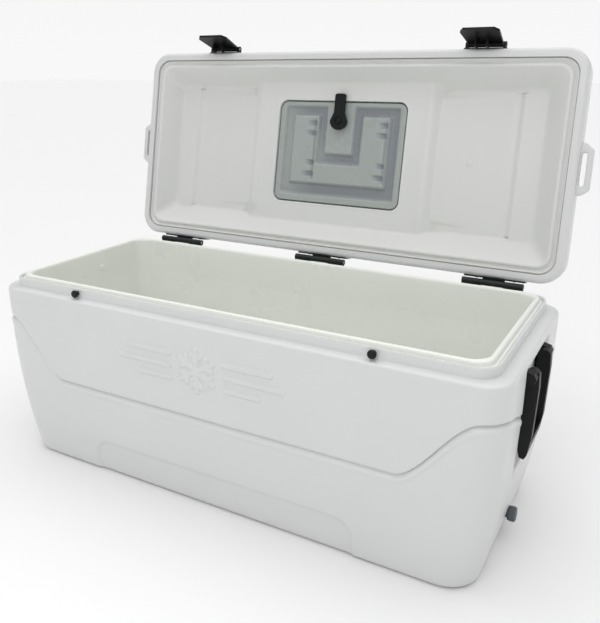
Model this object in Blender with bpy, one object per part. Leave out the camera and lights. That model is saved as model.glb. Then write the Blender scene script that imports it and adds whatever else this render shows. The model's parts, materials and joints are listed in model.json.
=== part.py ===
"""Large white chest cooler with its lid standing open.

Metres, +Z up.  X runs along the length, the front faces -Y, and the origin is
the centre of the flat underside.  Everything on the lid is drawn with the lid
shut and then turned about the hinge line to its open rest position.
"""
import math

import bmesh
import bpy
from mathutils import Matrix, Vector

MM = 0.001

# overall sizes
LENGTH = 1024 * MM
DEPTH = 450 * MM
SHOULDER = 369 * MM
LID_HEIGHT = 88 * MM
LID_OPEN = math.radians(100)
GAP = 0.4 * MM

# tub
RIM_RISE = 20 * MM
TUB_OVER = 6 * MM
END_TAPER = 36 * MM
FRONT_TAPER = 22 * MM
TAPER_POWER = 2.4
BASE_RADIUS = 56 * MM
TOP_RADIUS = 46 * MM
SHELL_WALL = 7 * MM
LINER_WALL = 4 * MM
RIM_INSET = 37 * MM
FLOOR = 24 * MM
WAIST_LOW = 183 * MM
WAIST_HIGH = 300 * MM
WAIST_END = 262 * MM
GROOVE = 5 * MM
PANEL_HALF = 282 * MM
PANEL_TOP = 73 * MM
PANEL_DEPTH = 3.5 * MM

# lid
LID_WALL = 4.5 * MM
LID_RIM = 17.5 * MM
RECESS = 50 * MM
RECESS_SLOPE = 40 * MM
MID_FOOT = 238 * MM
MID_TOP = 206 * MM
MID_RISE = 12 * MM
TAB_OUT = 22 * MM
TAB_HALF = 52 * MM
TAB_BOTTOM = 12 * MM
TAB_THICK = 20 * MM
SLOT_HALF = 32 * MM
SLOT_WIDTH = 8 * MM
SLOT_OUT = 5.8 * MM

# hatch
HATCH_X = 156 * MM
HATCH_Y = 117 * MM
HATCH_CENTRE = -4 * MM
POCKET_MARGIN_X = 18 * MM
POCKET_MARGIN_Y = 29 * MM
POCKET_FLOOR = 64 * MM
COVER_OVER = 9 * MM
COVER_TOP = 84 * MM
HATCH_AXIS_Y = 129 * MM
HATCH_AXIS_Z = 74 * MM
CAM_Y = -76 * MM
CAM_REACH = 60 * MM
SHAFT = 6 * MM
CLEARANCE = 0.5 * MM

# hinges of the lid
AXIS_BACK = 11 * MM
HINGE_FROM_END = 130 * MM
HINGE_HALF = 60 * MM
KNUCKLE = 6.5 * MM
PIN = 2.6 * MM
LEAF = 3 * MM

# latches
LATCH_X = (-310 * MM, 310 * MM)
LATCH_OUT = 11 * MM
LATCH_Z = 22 * MM
LATCH_SWING = math.radians(11)
STRAP_HALF = 34 * MM
STRAP_LENGTH = 75 * MM
STRAP_THICK = 5 * MM
POST_DROP = 8.8 * MM
POST_HEAD = 7.6 * MM

# carrying handles
HANDLE_AXIS_Z = 330 * MM
HANDLE_OUT = 16 * MM
HANDLE_HALF = 58 * MM
HANDLE_DROP = 148 * MM
HANDLE_POCKET = 14 * MM
POCKET_MARGIN = 26 * MM
POCKET_EDGE = 12 * MM
POCKET_FOOT = 160 * MM
POCKET_HEAD = 354 * MM
ARM_WIDTH = 16 * MM
BRACKET = 18 * MM

# drain
DRAIN_Z = 42 * MM
SPOUT = 8.7 * MM
SPOUT_BORE = 6 * MM
CAP = 13.5 * MM
CAP_LENGTH = 10.5 * MM

SCREW_HEAD = 4 * MM
SCREW_SHANK = 2 * MM
SCREW_BITE = 3 * MM

HALF_X = LENGTH / 2
HALF_Y = DEPTH / 2
RIM_Z = SHOULDER + RIM_RISE
AXIS_Y = HALF_Y + AXIS_BACK
HINGE_X = (HINGE_FROM_END - HALF_X, 0.0, HALF_X - HINGE_FROM_END)
POCKET_X = HATCH_X + POCKET_MARGIN_X
POCKET_Y = HATCH_Y + POCKET_MARGIN_Y
POCKET_HALF = HANDLE_HALF + POCKET_MARGIN

LONG_STEPS = (-1, -0.86, -0.57, -0.5, 0.5, 0.57, 0.86, 1)
TUB_STEPS = (-1, -0.93, -0.86, -0.8, 0.8, 0.86, 0.93, 1)
FLANK_IN = (POCKET_HALF - 1.7 * MM) / (HALF_Y - TOP_RADIUS)
FLANK_OUT = (POCKET_HALF + POCKET_EDGE + 9.6 * MM) / (HALF_Y - TOP_RADIUS)
SHORT_STEPS = (-1, -FLANK_OUT, -FLANK_IN, FLANK_IN, FLANK_OUT, 1)
CORNER = 7


def lid_open():
    """The turn that carries the shut lid to its open rest position."""
    pivot = Vector((0, AXIS_Y, RIM_Z))
    return (Matrix.Translation(pivot) @ Matrix.Rotation(-LID_OPEN, 4, "X")
            @ Matrix.Translation(-pivot))


def latch_open(x):
    """The lid's turn after the latch has swung out from its latched position."""
    pivot = Vector((x, -HALF_Y - LATCH_OUT, RIM_Z + LATCH_Z))
    return (lid_open() @ Matrix.Translation(pivot)
            @ Matrix.Rotation(-LATCH_SWING, 4, "X") @ Matrix.Translation(-pivot))


def material(name, color, roughness, metallic=0.0):
    """A plain material with the part's colour."""
    mat = bpy.data.materials.new(name)
    mat.use_nodes = True
    shader = mat.node_tree.nodes["Principled BSDF"]
    shader.inputs["Base Color"].default_value = (*color, 1.0)
    shader.inputs["Roughness"].default_value = roughness
    shader.inputs["Metallic"].default_value = metallic
    mat.diffuse_color = (*color, 1.0)
    return mat


WHITE = (0.80, 0.80, 0.80)
LINER = (0.74, 0.75, 0.73)
FOAM = (0.78, 0.72, 0.52)
GREY = (0.27, 0.30, 0.30)
BLACK = (0.012, 0.014, 0.013)
STEEL = (0.55, 0.56, 0.57)
SLATE = (0.07, 0.075, 0.08)


def finish(name, bm, color, roughness, metallic=0.0, turn=None, origin=None):
    """Make one named object from a mesh; its origin goes to its joint axis."""
    if turn is not None:
        bmesh.ops.transform(bm, matrix=turn, verts=bm.verts)
    bmesh.ops.recalc_face_normals(bm, faces=bm.faces)
    origin = Vector(origin) if origin is not None else Vector((0, 0, 0))
    if turn is not None and origin.length > 0:
        origin = turn @ origin
    bmesh.ops.translate(bm, vec=-origin, verts=bm.verts)
    mesh = bpy.data.meshes.new(name)
    bm.to_mesh(mesh)
    bm.free()
    mesh.materials.append(material(name, color, roughness, metallic))
    obj = bpy.data.objects.new(name, mesh)
    obj.location = origin
    bpy.context.collection.objects.link(obj)
    mesh.shade_smooth()
    mesh.set_sharp_from_angle(angle=math.radians(32))
    return obj


def boolean(obj, tool_mesh, operation, turn=None):
    """Join to or cut from an object with a hidden helper."""
    if turn is not None:
        bmesh.ops.transform(tool_mesh, matrix=turn, verts=tool_mesh.verts)
    bmesh.ops.recalc_face_normals(tool_mesh, faces=tool_mesh.faces)
    mesh = bpy.data.meshes.new("tool")
    tool_mesh.to_mesh(mesh)
    tool_mesh.free()
    tool = bpy.data.objects.new("tool_" + obj.name, mesh)
    bpy.context.collection.objects.link(tool)
    tool.hide_render = True
    tool.hide_viewport = False
    tool.display_type = "WIRE"
    mod = obj.modifiers.new(operation.lower(), "BOOLEAN")
    mod.operation = operation
    mod.solver = "EXACT"
    mod.object = tool
    return obj


def outline(half_x, half_y, radius, centre_y=0.0, steps=LONG_STEPS):
    """Points round a rectangle with rounded corners, counter-clockwise."""
    radius = min(radius, half_x * 0.98, half_y * 0.98)
    flat_x = half_x - radius
    flat_y = half_y - radius
    points = []
    sides = (
        (flat_x, -flat_y, -90, steps, (1, 0)),
        (flat_x, flat_y, 0, SHORT_STEPS, (0, 1)),
        (-flat_x, flat_y, 90, steps, (-1, 0)),
        (-flat_x, -flat_y, 180, SHORT_STEPS, (0, -1)),
    )
    for corner_x, corner_y, start, side, direction in sides:
        flat = flat_x if direction[0] else flat_y
        for step in side[:-1]:
            along = step * flat
            x = direction[0] * along if direction[0] else math.copysign(half_x, direction[1])
            y = direction[1] * along if direction[1] else math.copysign(half_y, -direction[0])
            points.append((x, y + centre_y))
        for k in range(CORNER + 1):
            angle = math.radians(start + 90 * k / CORNER)
            points.append((corner_x + radius * math.cos(angle),
                           corner_y + radius * math.sin(angle) + centre_y))
        points.pop()
        points.append((corner_x + radius * math.cos(math.radians(start + 90)),
                       corner_y + radius * math.sin(math.radians(start + 90)) + centre_y))
    return points


def ring(inset, z, radius, half_x=None, half_y=None, centre_y=0.0, shape=None):
    """One level of a loft: an inset outline at a height, or at a height rule."""
    half_x = HALF_X if half_x is None else half_x
    half_y = HALF_Y if half_y is None else half_y
    points = outline(half_x - inset, half_y - inset, radius, centre_y)
    if shape is None:
        return [(x, y, z) for x, y in points]
    return [(x, y, z + shape(x, y)) for x, y in points]


def loft(rings, closed_loop=False):
    """Skin a list of rings; the ends are capped unless the loft is a loop."""
    bm = bmesh.new()
    rows = [[bm.verts.new(p) for p in r] for r in rings]
    count = len(rows[0])
    pairs = list(zip(rows[:-1], rows[1:]))
    if closed_loop:
        pairs.append((rows[-1], rows[0]))
    for low, high in pairs:
        for k in range(count):
            j = (k + 1) % count
            bm.faces.new((low[k], low[j], high[j], high[k]))
    if not closed_loop:
        bm.faces.new(list(reversed(rows[0])))
        bm.faces.new(rows[-1])
    bmesh.ops.remove_doubles(bm, verts=bm.verts, dist=1e-6)
    bmesh.ops.triangulate(bm, faces=bm.faces, quad_method="SHORT_EDGE")
    return bm


def box(low, high, bevel=0.0):
    """A block between two corners, with rounded edges when asked."""
    bm = bmesh.new()
    bmesh.ops.create_cube(bm, size=1.0)
    size = [b - a for a, b in zip(low, high)]
    centre = [(a + b) / 2 for a, b in zip(low, high)]
    bmesh.ops.scale(bm, vec=size, verts=bm.verts)
    bmesh.ops.translate(bm, vec=centre, verts=bm.verts)
    if bevel > 0:
        bmesh.ops.bevel(bm, geom=list(bm.edges), offset=bevel, segments=2,
                        affect="EDGES", profile=0.5)
    return bm


def prism(points, start, end, axis="X"):
    """A flat outline swept straight along an axis."""
    bm = bmesh.new()
    place = {
        "X": lambda u, v, w: (w, u, v),
        "Y": lambda u, v, w: (u, w, v),
        "Z": lambda u, v, w: (u, v, w),
    }[axis]
    low = [bm.verts.new(place(u, v, start)) for u, v in points]
    high = [bm.verts.new(place(u, v, end)) for u, v in points]
    count = len(points)
    for k in range(count):
        j = (k + 1) % count
        bm.faces.new((low[k], low[j], high[j], high[k]))
    bm.faces.new(list(reversed(low)))
    bm.faces.new(high)
    return bm


def turned(profile, centre, axis="Z", steps=20):
    """A solid of revolution from (radius, height) pairs about an axis."""
    bm = bmesh.new()
    place = {
        "X": lambda a, b, h: (h, a, b),
        "Y": lambda a, b, h: (a, h, b),
        "Z": lambda a, b, h: (a, b, h),
    }[axis]
    rows = []
    for radius, height in profile:
        if radius < 1e-7:
            rows.append([bm.verts.new(Vector(centre) + Vector(place(0, 0, height)))])
            continue
        row = []
        for k in range(steps):
            angle = 2 * math.pi * k / steps
            offset = place(radius * math.cos(angle), radius * math.sin(angle), height)
            row.append(bm.verts.new(Vector(centre) + Vector(offset)))
        rows.append(row)
    loop = len(rows[0]) > 1 and len(rows[-1]) > 1
    pairs = list(zip(rows[:-1], rows[1:]))
    if loop:
        pairs.append((rows[-1], rows[0]))
    for low, high in pairs:
        for k in range(steps):
            j = (k + 1) % steps
            if len(low) == 1:
                bm.faces.new((low[0], high[j], high[k]))
            elif len(high) == 1:
                bm.faces.new((low[k], low[j], high[0]))
            else:
                bm.faces.new((low[k], low[j], high[j], high[k]))
    return bm


def rod(centre, radius, start, end, axis="X", steps=16):
    """A plain round bar."""
    profile = ((0, start), (radius, start), (radius, end), (0, end))
    return turned(profile, centre, axis, steps)


def joined(*meshes):
    """Several separate closed tools in one mesh."""
    total = bmesh.new()
    for bm in meshes:
        mesh = bpy.data.meshes.new("part")
        bmesh.ops.recalc_face_normals(bm, faces=bm.faces)
        bm.to_mesh(mesh)
        bm.free()
        total.from_mesh(mesh)
        bpy.data.meshes.remove(mesh)
    return total


def screw(name, tip, direction, grip, turn=None):
    """A pan-head screw; grip is the thickness under its head."""
    axis = "X" if abs(direction[0]) > 0.5 else "Y"
    sign = direction[0] + direction[1]
    levels = (
        (0, -SCREW_BITE),
        (SCREW_SHANK, -SCREW_BITE),
        (SCREW_SHANK, grip + 0.3 * MM),
        (SCREW_HEAD, grip + 0.3 * MM),
        (SCREW_HEAD * 0.9, grip + 1.6 * MM),
        (SCREW_HEAD * 0.5, grip + 2.4 * MM),
        (0, grip + 2.5 * MM),
    )
    profile = [(r, sign * h) for r, h in levels]
    return finish(name, turned(profile, tip, axis, 10), STEEL, 0.35, 1.0, turn)


def screw_bore(tip, direction, depth):
    """The hole a screw stands in, from outside down to a blind depth."""
    axis = "X" if abs(direction[0]) > 0.5 else "Y"
    sign = direction[0] + direction[1]
    ends = sorted((sign * 12 * MM, -sign * depth))
    return rod(tip, SCREW_SHANK + 0.3 * MM, ends[0], ends[1], axis, 10)


# ---------------------------------------------------------------- the tub

def smooth(value, low, high):
    """Ease from 0 to 1 between two values."""
    t = min(1.0, max(0.0, (value - low) / (high - low)))
    return t * t * (3 - 2 * t)


def waist(x, y):
    """Height of the waist groove: low in front, high at the corners."""
    rise = smooth(abs(x), 0.68 * HALF_X, 0.93 * HALF_X)
    end = 1 - smooth(abs(y), 0.2 * HALF_Y, 0.86 * HALF_Y)
    return WAIST_LOW + (WAIST_HIGH - WAIST_LOW) * rise - (WAIST_HIGH - WAIST_END) * end


def drawn_in(z):
    """Share of the taper used at a height: little near the top, most at the foot."""
    return max(0.0, 1 - z / SHOULDER) ** TAPER_POWER


def end_half(z):
    """Half length of the tub at a height."""
    return HALF_X + TUB_OVER - END_TAPER * drawn_in(z)


def side_half(z):
    """Half depth of the tub at a height."""
    return HALF_Y - FRONT_TAPER * drawn_in(z)


def wall_radius(z):
    """Corner radius of the outer wall at a height."""
    return TOP_RADIUS + (BASE_RADIUS - TOP_RADIUS) * (1 - z / SHOULDER)


def dent(y, z):
    """Depth of the shallow pocket that a handle lies in, at a point of an end wall."""
    across = 1 - smooth(abs(y), POCKET_HALF, POCKET_HALF + POCKET_EDGE)
    foot = smooth(z, POCKET_FOOT, POCKET_FOOT + POCKET_EDGE)
    head = 1 - smooth(z, POCKET_HEAD - 4 * MM, POCKET_HEAD)
    return HANDLE_POCKET * across * foot * head


def level(z, inset=0.0, radius=None):
    """A ring of the outer wall, moved in by an inset."""
    radius = wall_radius(z) if radius is None else radius
    radius = max(radius - inset * 0.6, 12 * MM)
    points = outline(end_half(z) - inset, side_half(z) - inset, radius, 0.0, TUB_STEPS)
    return [(x - math.copysign(dent(y, z), x), y, z) for x, y in points]


def waist_ring(rise, inset):
    """A ring that follows the waist line all the way round."""
    mid = (WAIST_LOW + WAIST_HIGH) / 2
    half_x = end_half(mid)
    half_y = side_half(mid)
    points = []
    for x, y in outline(half_x, half_y, wall_radius(mid), 0.0, TUB_STEPS):
        z = waist(x, y) + rise
        across = x * (end_half(z) - inset) / half_x
        points.append((across - math.copysign(dent(y, z), x),
                       y * (side_half(z) - inset) / half_y, z))
    return points


def handle_side(sign):
    """Screw points and wall position of one end's handle."""
    wall = end_half(HANDLE_AXIS_Z) - HANDLE_POCKET
    return sign * wall, sign * (wall + HANDLE_OUT)


def bracket_y(side):
    """Centre of a handle bracket on one side of the bail."""
    return side * (HANDLE_HALF + GAP + BRACKET / 2)


def hinge_screws(x):
    """Positions of a hinge leaf's two screws along the length."""
    return (x - HINGE_HALF * 0.62, x + HINGE_HALF * 0.62)


BODY_SCREW_Z = SHOULDER - 22 * MM
LID_SCREW_Z = RIM_Z + 24 * MM


def body_bores():
    """Every blind hole that the tub's outer wall has for a screw."""
    tools = []
    for x in HINGE_X:
        for sx in hinge_screws(x):
            tools.append(screw_bore((sx, HALF_Y, BODY_SCREW_Z), (0, 1), 5 * MM))
    for sign in (-1, 1):
        wall, _ = handle_side(sign)
        for side in (-1, 1):
            point = (wall, bracket_y(side), HANDLE_AXIS_Z - 20 * MM)
            tools.append(screw_bore(point, (sign, 0), 5 * MM))
    for x in LATCH_X:
        tools.append(rod((x, -HALF_Y + 17 * MM, RIM_Z - POST_DROP), 3.4 * MM,
                         -20 * MM, 4.2 * MM, "Y", 12))
    return joined(*tools)


def drain_bore(radius):
    """The drain's passage through one end of the tub."""
    return rod((HALF_X, 0, DRAIN_Z), radius, -70 * MM, 20 * MM, "X", 20)


def front_panel():
    """Tool for the plain sunk panel at the foot of the front."""
    half = PANEL_HALF
    radius = 34 * MM
    points = [(-half, -10 * MM), (half, -10 * MM)]
    for start, cx in ((0, half - radius), (90, -half + radius)):
        for k in range(7):
            angle = math.radians(start + 15 * k)
            points.append((cx + radius * math.cos(angle),
                           PANEL_TOP - radius + radius * math.sin(angle)))
    bm = prism(points, -HALF_Y - 10 * MM, 0, "Y")
    for vert in bm.verts:
        if vert.co.y > -HALF_Y:
            vert.co.y = -side_half(max(vert.co.z, 0)) + PANEL_DEPTH
    return bm


def tub_shell():
    """Outer wall of the tub, with its waist groove, ledge and latch band."""
    rings = [
        level(0, 9 * MM), level(1.6 * MM, 4 * MM), level(5 * MM, 1.2 * MM), level(10 * MM),
        level(25 * MM), level(60 * MM), level(105 * MM), level(POCKET_FOOT),
        level(POCKET_FOOT + POCKET_EDGE),
        waist_ring(0, 0), waist_ring(1 * MM, GROOVE),
        waist_ring(5 * MM, GROOVE), waist_ring(8 * MM, 0),
        level(325 * MM), level(POCKET_HEAD - 4 * MM), level(POCKET_HEAD),
        level(SHOULDER - 5 * MM), level(SHOULDER - 1.2 * MM, 0.6 * MM),
        level(SHOULDER, 2 * MM), level(SHOULDER + 1.5 * MM, 15 * MM + TUB_OVER, 44 * MM),
        ring(17 * MM, SHOULDER + 4 * MM, 34 * MM), ring(17 * MM, RIM_Z - 2 * MM, 34 * MM),
        ring(18 * MM, RIM_Z - 0.8 * MM, 33 * MM), ring(20.5 * MM, RIM_Z - 0.8 * MM, 32 * MM),
        ring(22 * MM, RIM_Z - 3 * MM, 31 * MM), ring(23 * MM, SHOULDER - 9 * MM, 31 * MM),
        level(SHOULDER - 20 * MM, SHELL_WALL), level(POCKET_FOOT + POCKET_EDGE, SHELL_WALL),
        level(POCKET_FOOT, SHELL_WALL), level(105 * MM, SHELL_WALL),
        level(50 * MM, SHELL_WALL), level(20 * MM, SHELL_WALL + 1 * MM), level(9 * MM, SHELL_WALL + 8 * MM),
        level(6.5 * MM, SHELL_WALL + 18 * MM),
    ]
    obj = finish("body_shell", loft(rings), WHITE, 0.32)
    boolean(obj, front_panel(), "DIFFERENCE")
    boolean(obj, body_bores(), "DIFFERENCE")
    boolean(obj, drain_bore(SPOUT + CLEARANCE), "DIFFERENCE")
    return obj


def liner_inset(z):
    """Inset of the tub's inner wall at a height."""
    return RIM_INSET + 12 * MM * (1 - z / RIM_Z)


def tub_liner():
    """Inner tub with the raised lip that the lid closes over."""
    lip = RIM_INSET
    rings = [
        ring(lip + 34 * MM, FLOOR, 24 * MM),
        ring(liner_inset(FLOOR) + 6 * MM, FLOOR + 1.5 * MM, 30 * MM),
        ring(liner_inset(FLOOR), FLOOR + 6.5 * MM, 34 * MM),
        ring(liner_inset(200 * MM), 200 * MM, 34 * MM),
        ring(lip, RIM_Z, 34 * MM),
        ring(lip - 1.2 * MM, RIM_Z + 3.6 * MM, 33 * MM),
        ring(lip - 3.6 * MM, RIM_Z + 5 * MM, 32 * MM),
        ring(lip - 5.6 * MM, RIM_Z + 5 * MM, 31 * MM),
        ring(lip - 8 * MM, RIM_Z + 3.6 * MM, 31 * MM),
        ring(lip - 9.2 * MM, RIM_Z, 30 * MM),
        ring(lip - 9.6 * MM, RIM_Z - 4 * MM, 30 * MM),
        ring(lip - 13.4 * MM, RIM_Z - 5 * MM, 31 * MM),
        ring(lip - 13.5 * MM, RIM_Z - 8 * MM, 31 * MM),
        ring(lip - LINER_WALL, RIM_Z - 8.5 * MM, 34 * MM),
        ring(liner_inset(200 * MM) - LINER_WALL, 200 * MM, 36 * MM),
        ring(liner_inset(FLOOR) - LINER_WALL, FLOOR + 4 * MM, 37 * MM),
        ring(liner_inset(FLOOR) + 3 * MM, FLOOR - 2.4 * MM, 33 * MM),
        ring(lip + 34 * MM, FLOOR - LINER_WALL, 24 * MM),
    ]
    obj = finish("body_liner", loft(rings), LINER, 0.38)
    boolean(obj, drain_bore(SPOUT + CLEARANCE), "DIFFERENCE")
    return obj


def tub_foam():
    """Insulation between the tub's two skins."""
    lip = RIM_INSET
    wall = SHELL_WALL + GAP
    rings = [
        level(6.5 * MM + GAP, wall + 18 * MM), level(9 * MM + GAP, wall + 8.5 * MM),
        level(20 * MM, wall + 1.2 * MM), level(50 * MM, wall), level(105 * MM, wall),
        level(POCKET_FOOT, wall), level(POCKET_FOOT + POCKET_EDGE, wall),
        level(SHOULDER - 21 * MM, wall + 0.2 * MM),
        ring(23 * MM + 2 * GAP, SHOULDER - 9.5 * MM, 31 * MM),
        ring(lip - 13.2 * MM + GAP, RIM_Z - 9.5 * MM, 31 * MM),
        ring(lip - LINER_WALL - 2 * GAP, RIM_Z - 9.5 * MM, 34.5 * MM),
        ring(liner_inset(200 * MM) - LINER_WALL - 2 * GAP, 200 * MM, 36.5 * MM),
        ring(liner_inset(FLOOR) - LINER_WALL - 2 * GAP, FLOOR + 3.4 * MM, 37.5 * MM),
        ring(liner_inset(FLOOR) + 2.4 * MM, FLOOR - 3.6 * MM, 33.5 * MM),
        ring(lip + 33 * MM, FLOOR - LINER_WALL - 2 * GAP, 25 * MM),
    ]
    obj = finish("body_foam", loft(rings), FOAM, 0.9)
    boolean(obj, drain_bore(SPOUT + 2 * CLEARANCE), "DIFFERENCE")
    return obj


# ---------------------------------------------------------------- the lid

def lid_ring(inset, z, radius):
    """A ring of the lid at a height above its rim."""
    return ring(inset, RIM_Z + z, radius)


def hatch_ring(half_x, half_y, z, radius):
    """A ring round the hatch at a height above the lid's rim."""
    return ring(0, RIM_Z + z, radius, half_x, half_y, HATCH_CENTRE)


def tab(sign):
    """One tie-down tab, a flat-topped wedge on the lid's end."""
    inner = HALF_X - 3 * MM
    outer = HALF_X + TAB_OUT
    points = [
        (sign * inner, -TAB_HALF - 4 * MM), (sign * (outer - 3 * MM), -TAB_HALF + 8 * MM),
        (sign * outer, -TAB_HALF + 14 * MM), (sign * outer, TAB_HALF - 14 * MM),
        (sign * (outer - 3 * MM), TAB_HALF - 8 * MM), (sign * inner, TAB_HALF + 4 * MM),
    ]
    return prism(points, RIM_Z + TAB_BOTTOM, RIM_Z + TAB_BOTTOM + TAB_THICK, "Z")


def slot(sign):
    """The strap slot through a tie-down tab."""
    centre = sign * (HALF_X + SLOT_OUT)
    half = SLOT_WIDTH / 2
    points = []
    for start, y in ((0, SLOT_HALF - half), (180, -SLOT_HALF + half)):
        for k in range(7):
            angle = math.radians(start + 30 * k)
            points.append((centre + half * math.cos(angle), y + half * math.sin(angle)))
    return prism(points, RIM_Z, RIM_Z + 60 * MM, "Z")


def lid_bores():
    """Blind holes in the lid for the hinge and latch screws."""
    tools = []
    for x in HINGE_X:
        for sx in hinge_screws(x):
            tools.append(screw_bore((sx, HALF_Y, LID_SCREW_Z), (0, 1), 3.6 * MM))
    for x in LATCH_X:
        tools.append(screw_bore((x, -HALF_Y, RIM_Z + LATCH_Z + 14 * MM), (0, -1), 3.6 * MM))
    return joined(*tools)


def lid_shell():
    """Outer skin of the lid with the hatch's pocket and two tie-down tabs."""
    top = LID_HEIGHT
    radius = TOP_RADIUS
    wall = LID_WALL
    rings = [
        lid_ring(LID_RIM, 0.4 * MM, radius - 14 * MM), lid_ring(8 * MM, 0, radius - 6 * MM),
        lid_ring(2.4 * MM, 2.4 * MM, radius - 2 * MM), lid_ring(0, 9 * MM, radius),
        lid_ring(0.8 * MM, 44 * MM, radius),
        lid_ring(3.5 * MM, top - 26 * MM, radius), lid_ring(9 * MM, top - 13 * MM, radius),
        lid_ring(18 * MM, top - 5 * MM, radius), lid_ring(32 * MM, top - 1 * MM, radius),
        lid_ring(50 * MM, top, radius),
        hatch_ring(POCKET_X + 2 * MM, POCKET_Y + 2 * MM, top, 26 * MM),
        hatch_ring(POCKET_X, POCKET_Y, top - 2 * MM, 24 * MM),
        hatch_ring(POCKET_X, POCKET_Y, POCKET_FLOOR + 2 * MM, 24 * MM),
        hatch_ring(POCKET_X - 2 * MM, POCKET_Y - 2 * MM, POCKET_FLOOR, 22 * MM),
        hatch_ring(HATCH_X + 4.5 * MM, HATCH_Y + 4.5 * MM, POCKET_FLOOR, 22 * MM),
        hatch_ring(HATCH_X + 4.5 * MM, HATCH_Y + 4.5 * MM, POCKET_FLOOR - wall, 22 * MM),
        hatch_ring(POCKET_X + wall, POCKET_Y + wall, POCKET_FLOOR - wall, 26 * MM),
        hatch_ring(POCKET_X + wall + 1 * MM, POCKET_Y + wall + 1 * MM, top - wall, 28 * MM),
        lid_ring(50 * MM, top - wall, radius - 2 * MM),
        lid_ring(33 * MM, top - wall - 1.4 * MM, radius - 3 * MM),
        lid_ring(22 * MM, top - wall - 5 * MM, radius - 4 * MM),
        lid_ring(9 * MM, top - 26 * MM, radius - 4 * MM),
        lid_ring(wall + 0.8 * MM, 44 * MM, radius - 4 * MM),
        lid_ring(wall, 12 * MM, radius - 4 * MM),
        lid_ring(LID_RIM, 8 * MM, radius - 14 * MM),
    ]
    turn = lid_open()
    obj = finish("lid_shell", loft(rings, True), WHITE, 0.32, 0.0, turn)
    for sign in (-1, 1):
        boolean(obj, tab(sign), "UNION", turn)
    for sign in (-1, 1):
        boolean(obj, slot(sign), "DIFFERENCE", turn)
    boolean(obj, lid_bores(), "DIFFERENCE", turn)
    return obj


def floor_ring(inset, rise, radius, half_x=None, half_y=None):
    """A ring on the recess floor, lifted where the raised middle panel is."""
    def lift(x, _):
        part = (MID_FOOT - abs(x)) / (MID_FOOT - MID_TOP)
        return -MID_RISE * min(1.0, max(0.0, part))
    return ring(inset, RIM_Z + RECESS + rise, radius, half_x, half_y, 0.0, lift)


def lid_liner():
    """Inner face of the lid: flange, sloped recess, raised middle, hatch collar."""
    flange = 5.7 * MM
    mid = RECESS - MID_RISE
    low = RIM_INSET + 1 * MM
    edge = low + RECESS_SLOPE
    radius = TOP_RADIUS
    rings = [
        lid_ring(LID_RIM + 1 * MM, flange, radius - 15 * MM),
        lid_ring(low, flange, radius - 22 * MM),
        lid_ring(low + 4 * MM, flange + 1.5 * MM, radius - 24 * MM),
        floor_ring(edge - 4 * MM, -2 * MM, radius - 24 * MM),
        floor_ring(edge, 0, radius - 26 * MM),
        floor_ring(0, 0, 14 * MM, MID_FOOT, HALF_Y - edge - 1 * MM),
        floor_ring(0, 0, 12 * MM, MID_TOP, HALF_Y - edge - 2 * MM),
        hatch_ring(HATCH_X + 1.5 * MM, HATCH_Y + 1.5 * MM, mid, 21 * MM),
        hatch_ring(HATCH_X, HATCH_Y, mid + 1.5 * MM, 20 * MM),
        hatch_ring(HATCH_X, HATCH_Y, POCKET_FLOOR, 20 * MM),
        hatch_ring(HATCH_X + 4 * MM, HATCH_Y + 4 * MM, POCKET_FLOOR, 22 * MM),
        hatch_ring(HATCH_X + 4 * MM, HATCH_Y + 4 * MM, mid + 4.5 * MM, 22 * MM),
        floor_ring(0, 3.5 * MM, 12 * MM, MID_TOP, HALF_Y - edge - 2 * MM),
        floor_ring(0, 3.5 * MM, 14 * MM, MID_FOOT, HALF_Y - edge - 1 * MM),
        floor_ring(edge - 2 * MM, 3.5 * MM, radius - 26 * MM),
        floor_ring(edge - 7 * MM, 1.5 * MM, radius - 24 * MM),
        lid_ring(low, flange + 4.5 * MM, radius - 20 * MM),
        lid_ring(LID_RIM + 1 * MM, flange + 3 * MM, radius - 15 * MM),
    ]
    return finish("lid_liner", loft(rings, True), LINER, 0.38, 0.0, lid_open())


def lid_foam():
    """Insulation inside the lid, with its opening for the hatch."""
    top = LID_HEIGHT
    wall = LID_WALL + GAP
    radius = TOP_RADIUS
    low = RIM_INSET + 1 * MM
    edge = low + RECESS_SLOPE
    mid = RECESS - MID_RISE
    rings = [
        lid_ring(LID_RIM + 1.4 * MM, 9.6 * MM, radius - 15 * MM),
        lid_ring(wall + 0.4 * MM, 13.4 * MM, radius - 5 * MM),
        lid_ring(wall + 1.2 * MM, 44 * MM, radius - 5 * MM),
        lid_ring(9.6 * MM, top - 26.6 * MM, radius - 5 * MM),
        lid_ring(22.6 * MM, top - wall - 5.6 * MM, radius - 5 * MM),
        lid_ring(33.2 * MM, top - wall - 2 * MM, radius - 4 * MM),
        lid_ring(50 * MM, top - wall - 0.4 * MM, radius - 3 * MM),
        hatch_ring(POCKET_X + wall + 1.4 * MM, POCKET_Y + wall + 1.4 * MM,
                   top - wall - 0.4 * MM, 29 * MM),
        hatch_ring(POCKET_X + wall + 0.6 * MM, POCKET_Y + wall + 0.6 * MM,
                   POCKET_FLOOR - wall - 0.4 * MM, 27 * MM),
        hatch_ring(HATCH_X + 4.6 * MM, HATCH_Y + 4.6 * MM, POCKET_FLOOR - wall - 0.4 * MM, 23 * MM),
        hatch_ring(HATCH_X + 4.6 * MM, HATCH_Y + 4.6 * MM, mid + 5.4 * MM, 23 * MM),
        floor_ring(0, 7 * MM, 12 * MM, MID_TOP, HALF_Y - edge - 2 * MM),
        floor_ring(0, 7 * MM, 14 * MM, MID_FOOT, HALF_Y - edge - 1 * MM),
        floor_ring(edge - 2.4 * MM, 7 * MM, radius - 26 * MM),
        floor_ring(edge - 9 * MM, 4 * MM, radius - 24 * MM),
        lid_ring(low, 11.4 * MM, radius - 20 * MM),
    ]
    return finish("lid_foam", loft(rings, True), FOAM, 0.9, 0.0, lid_open())


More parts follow.
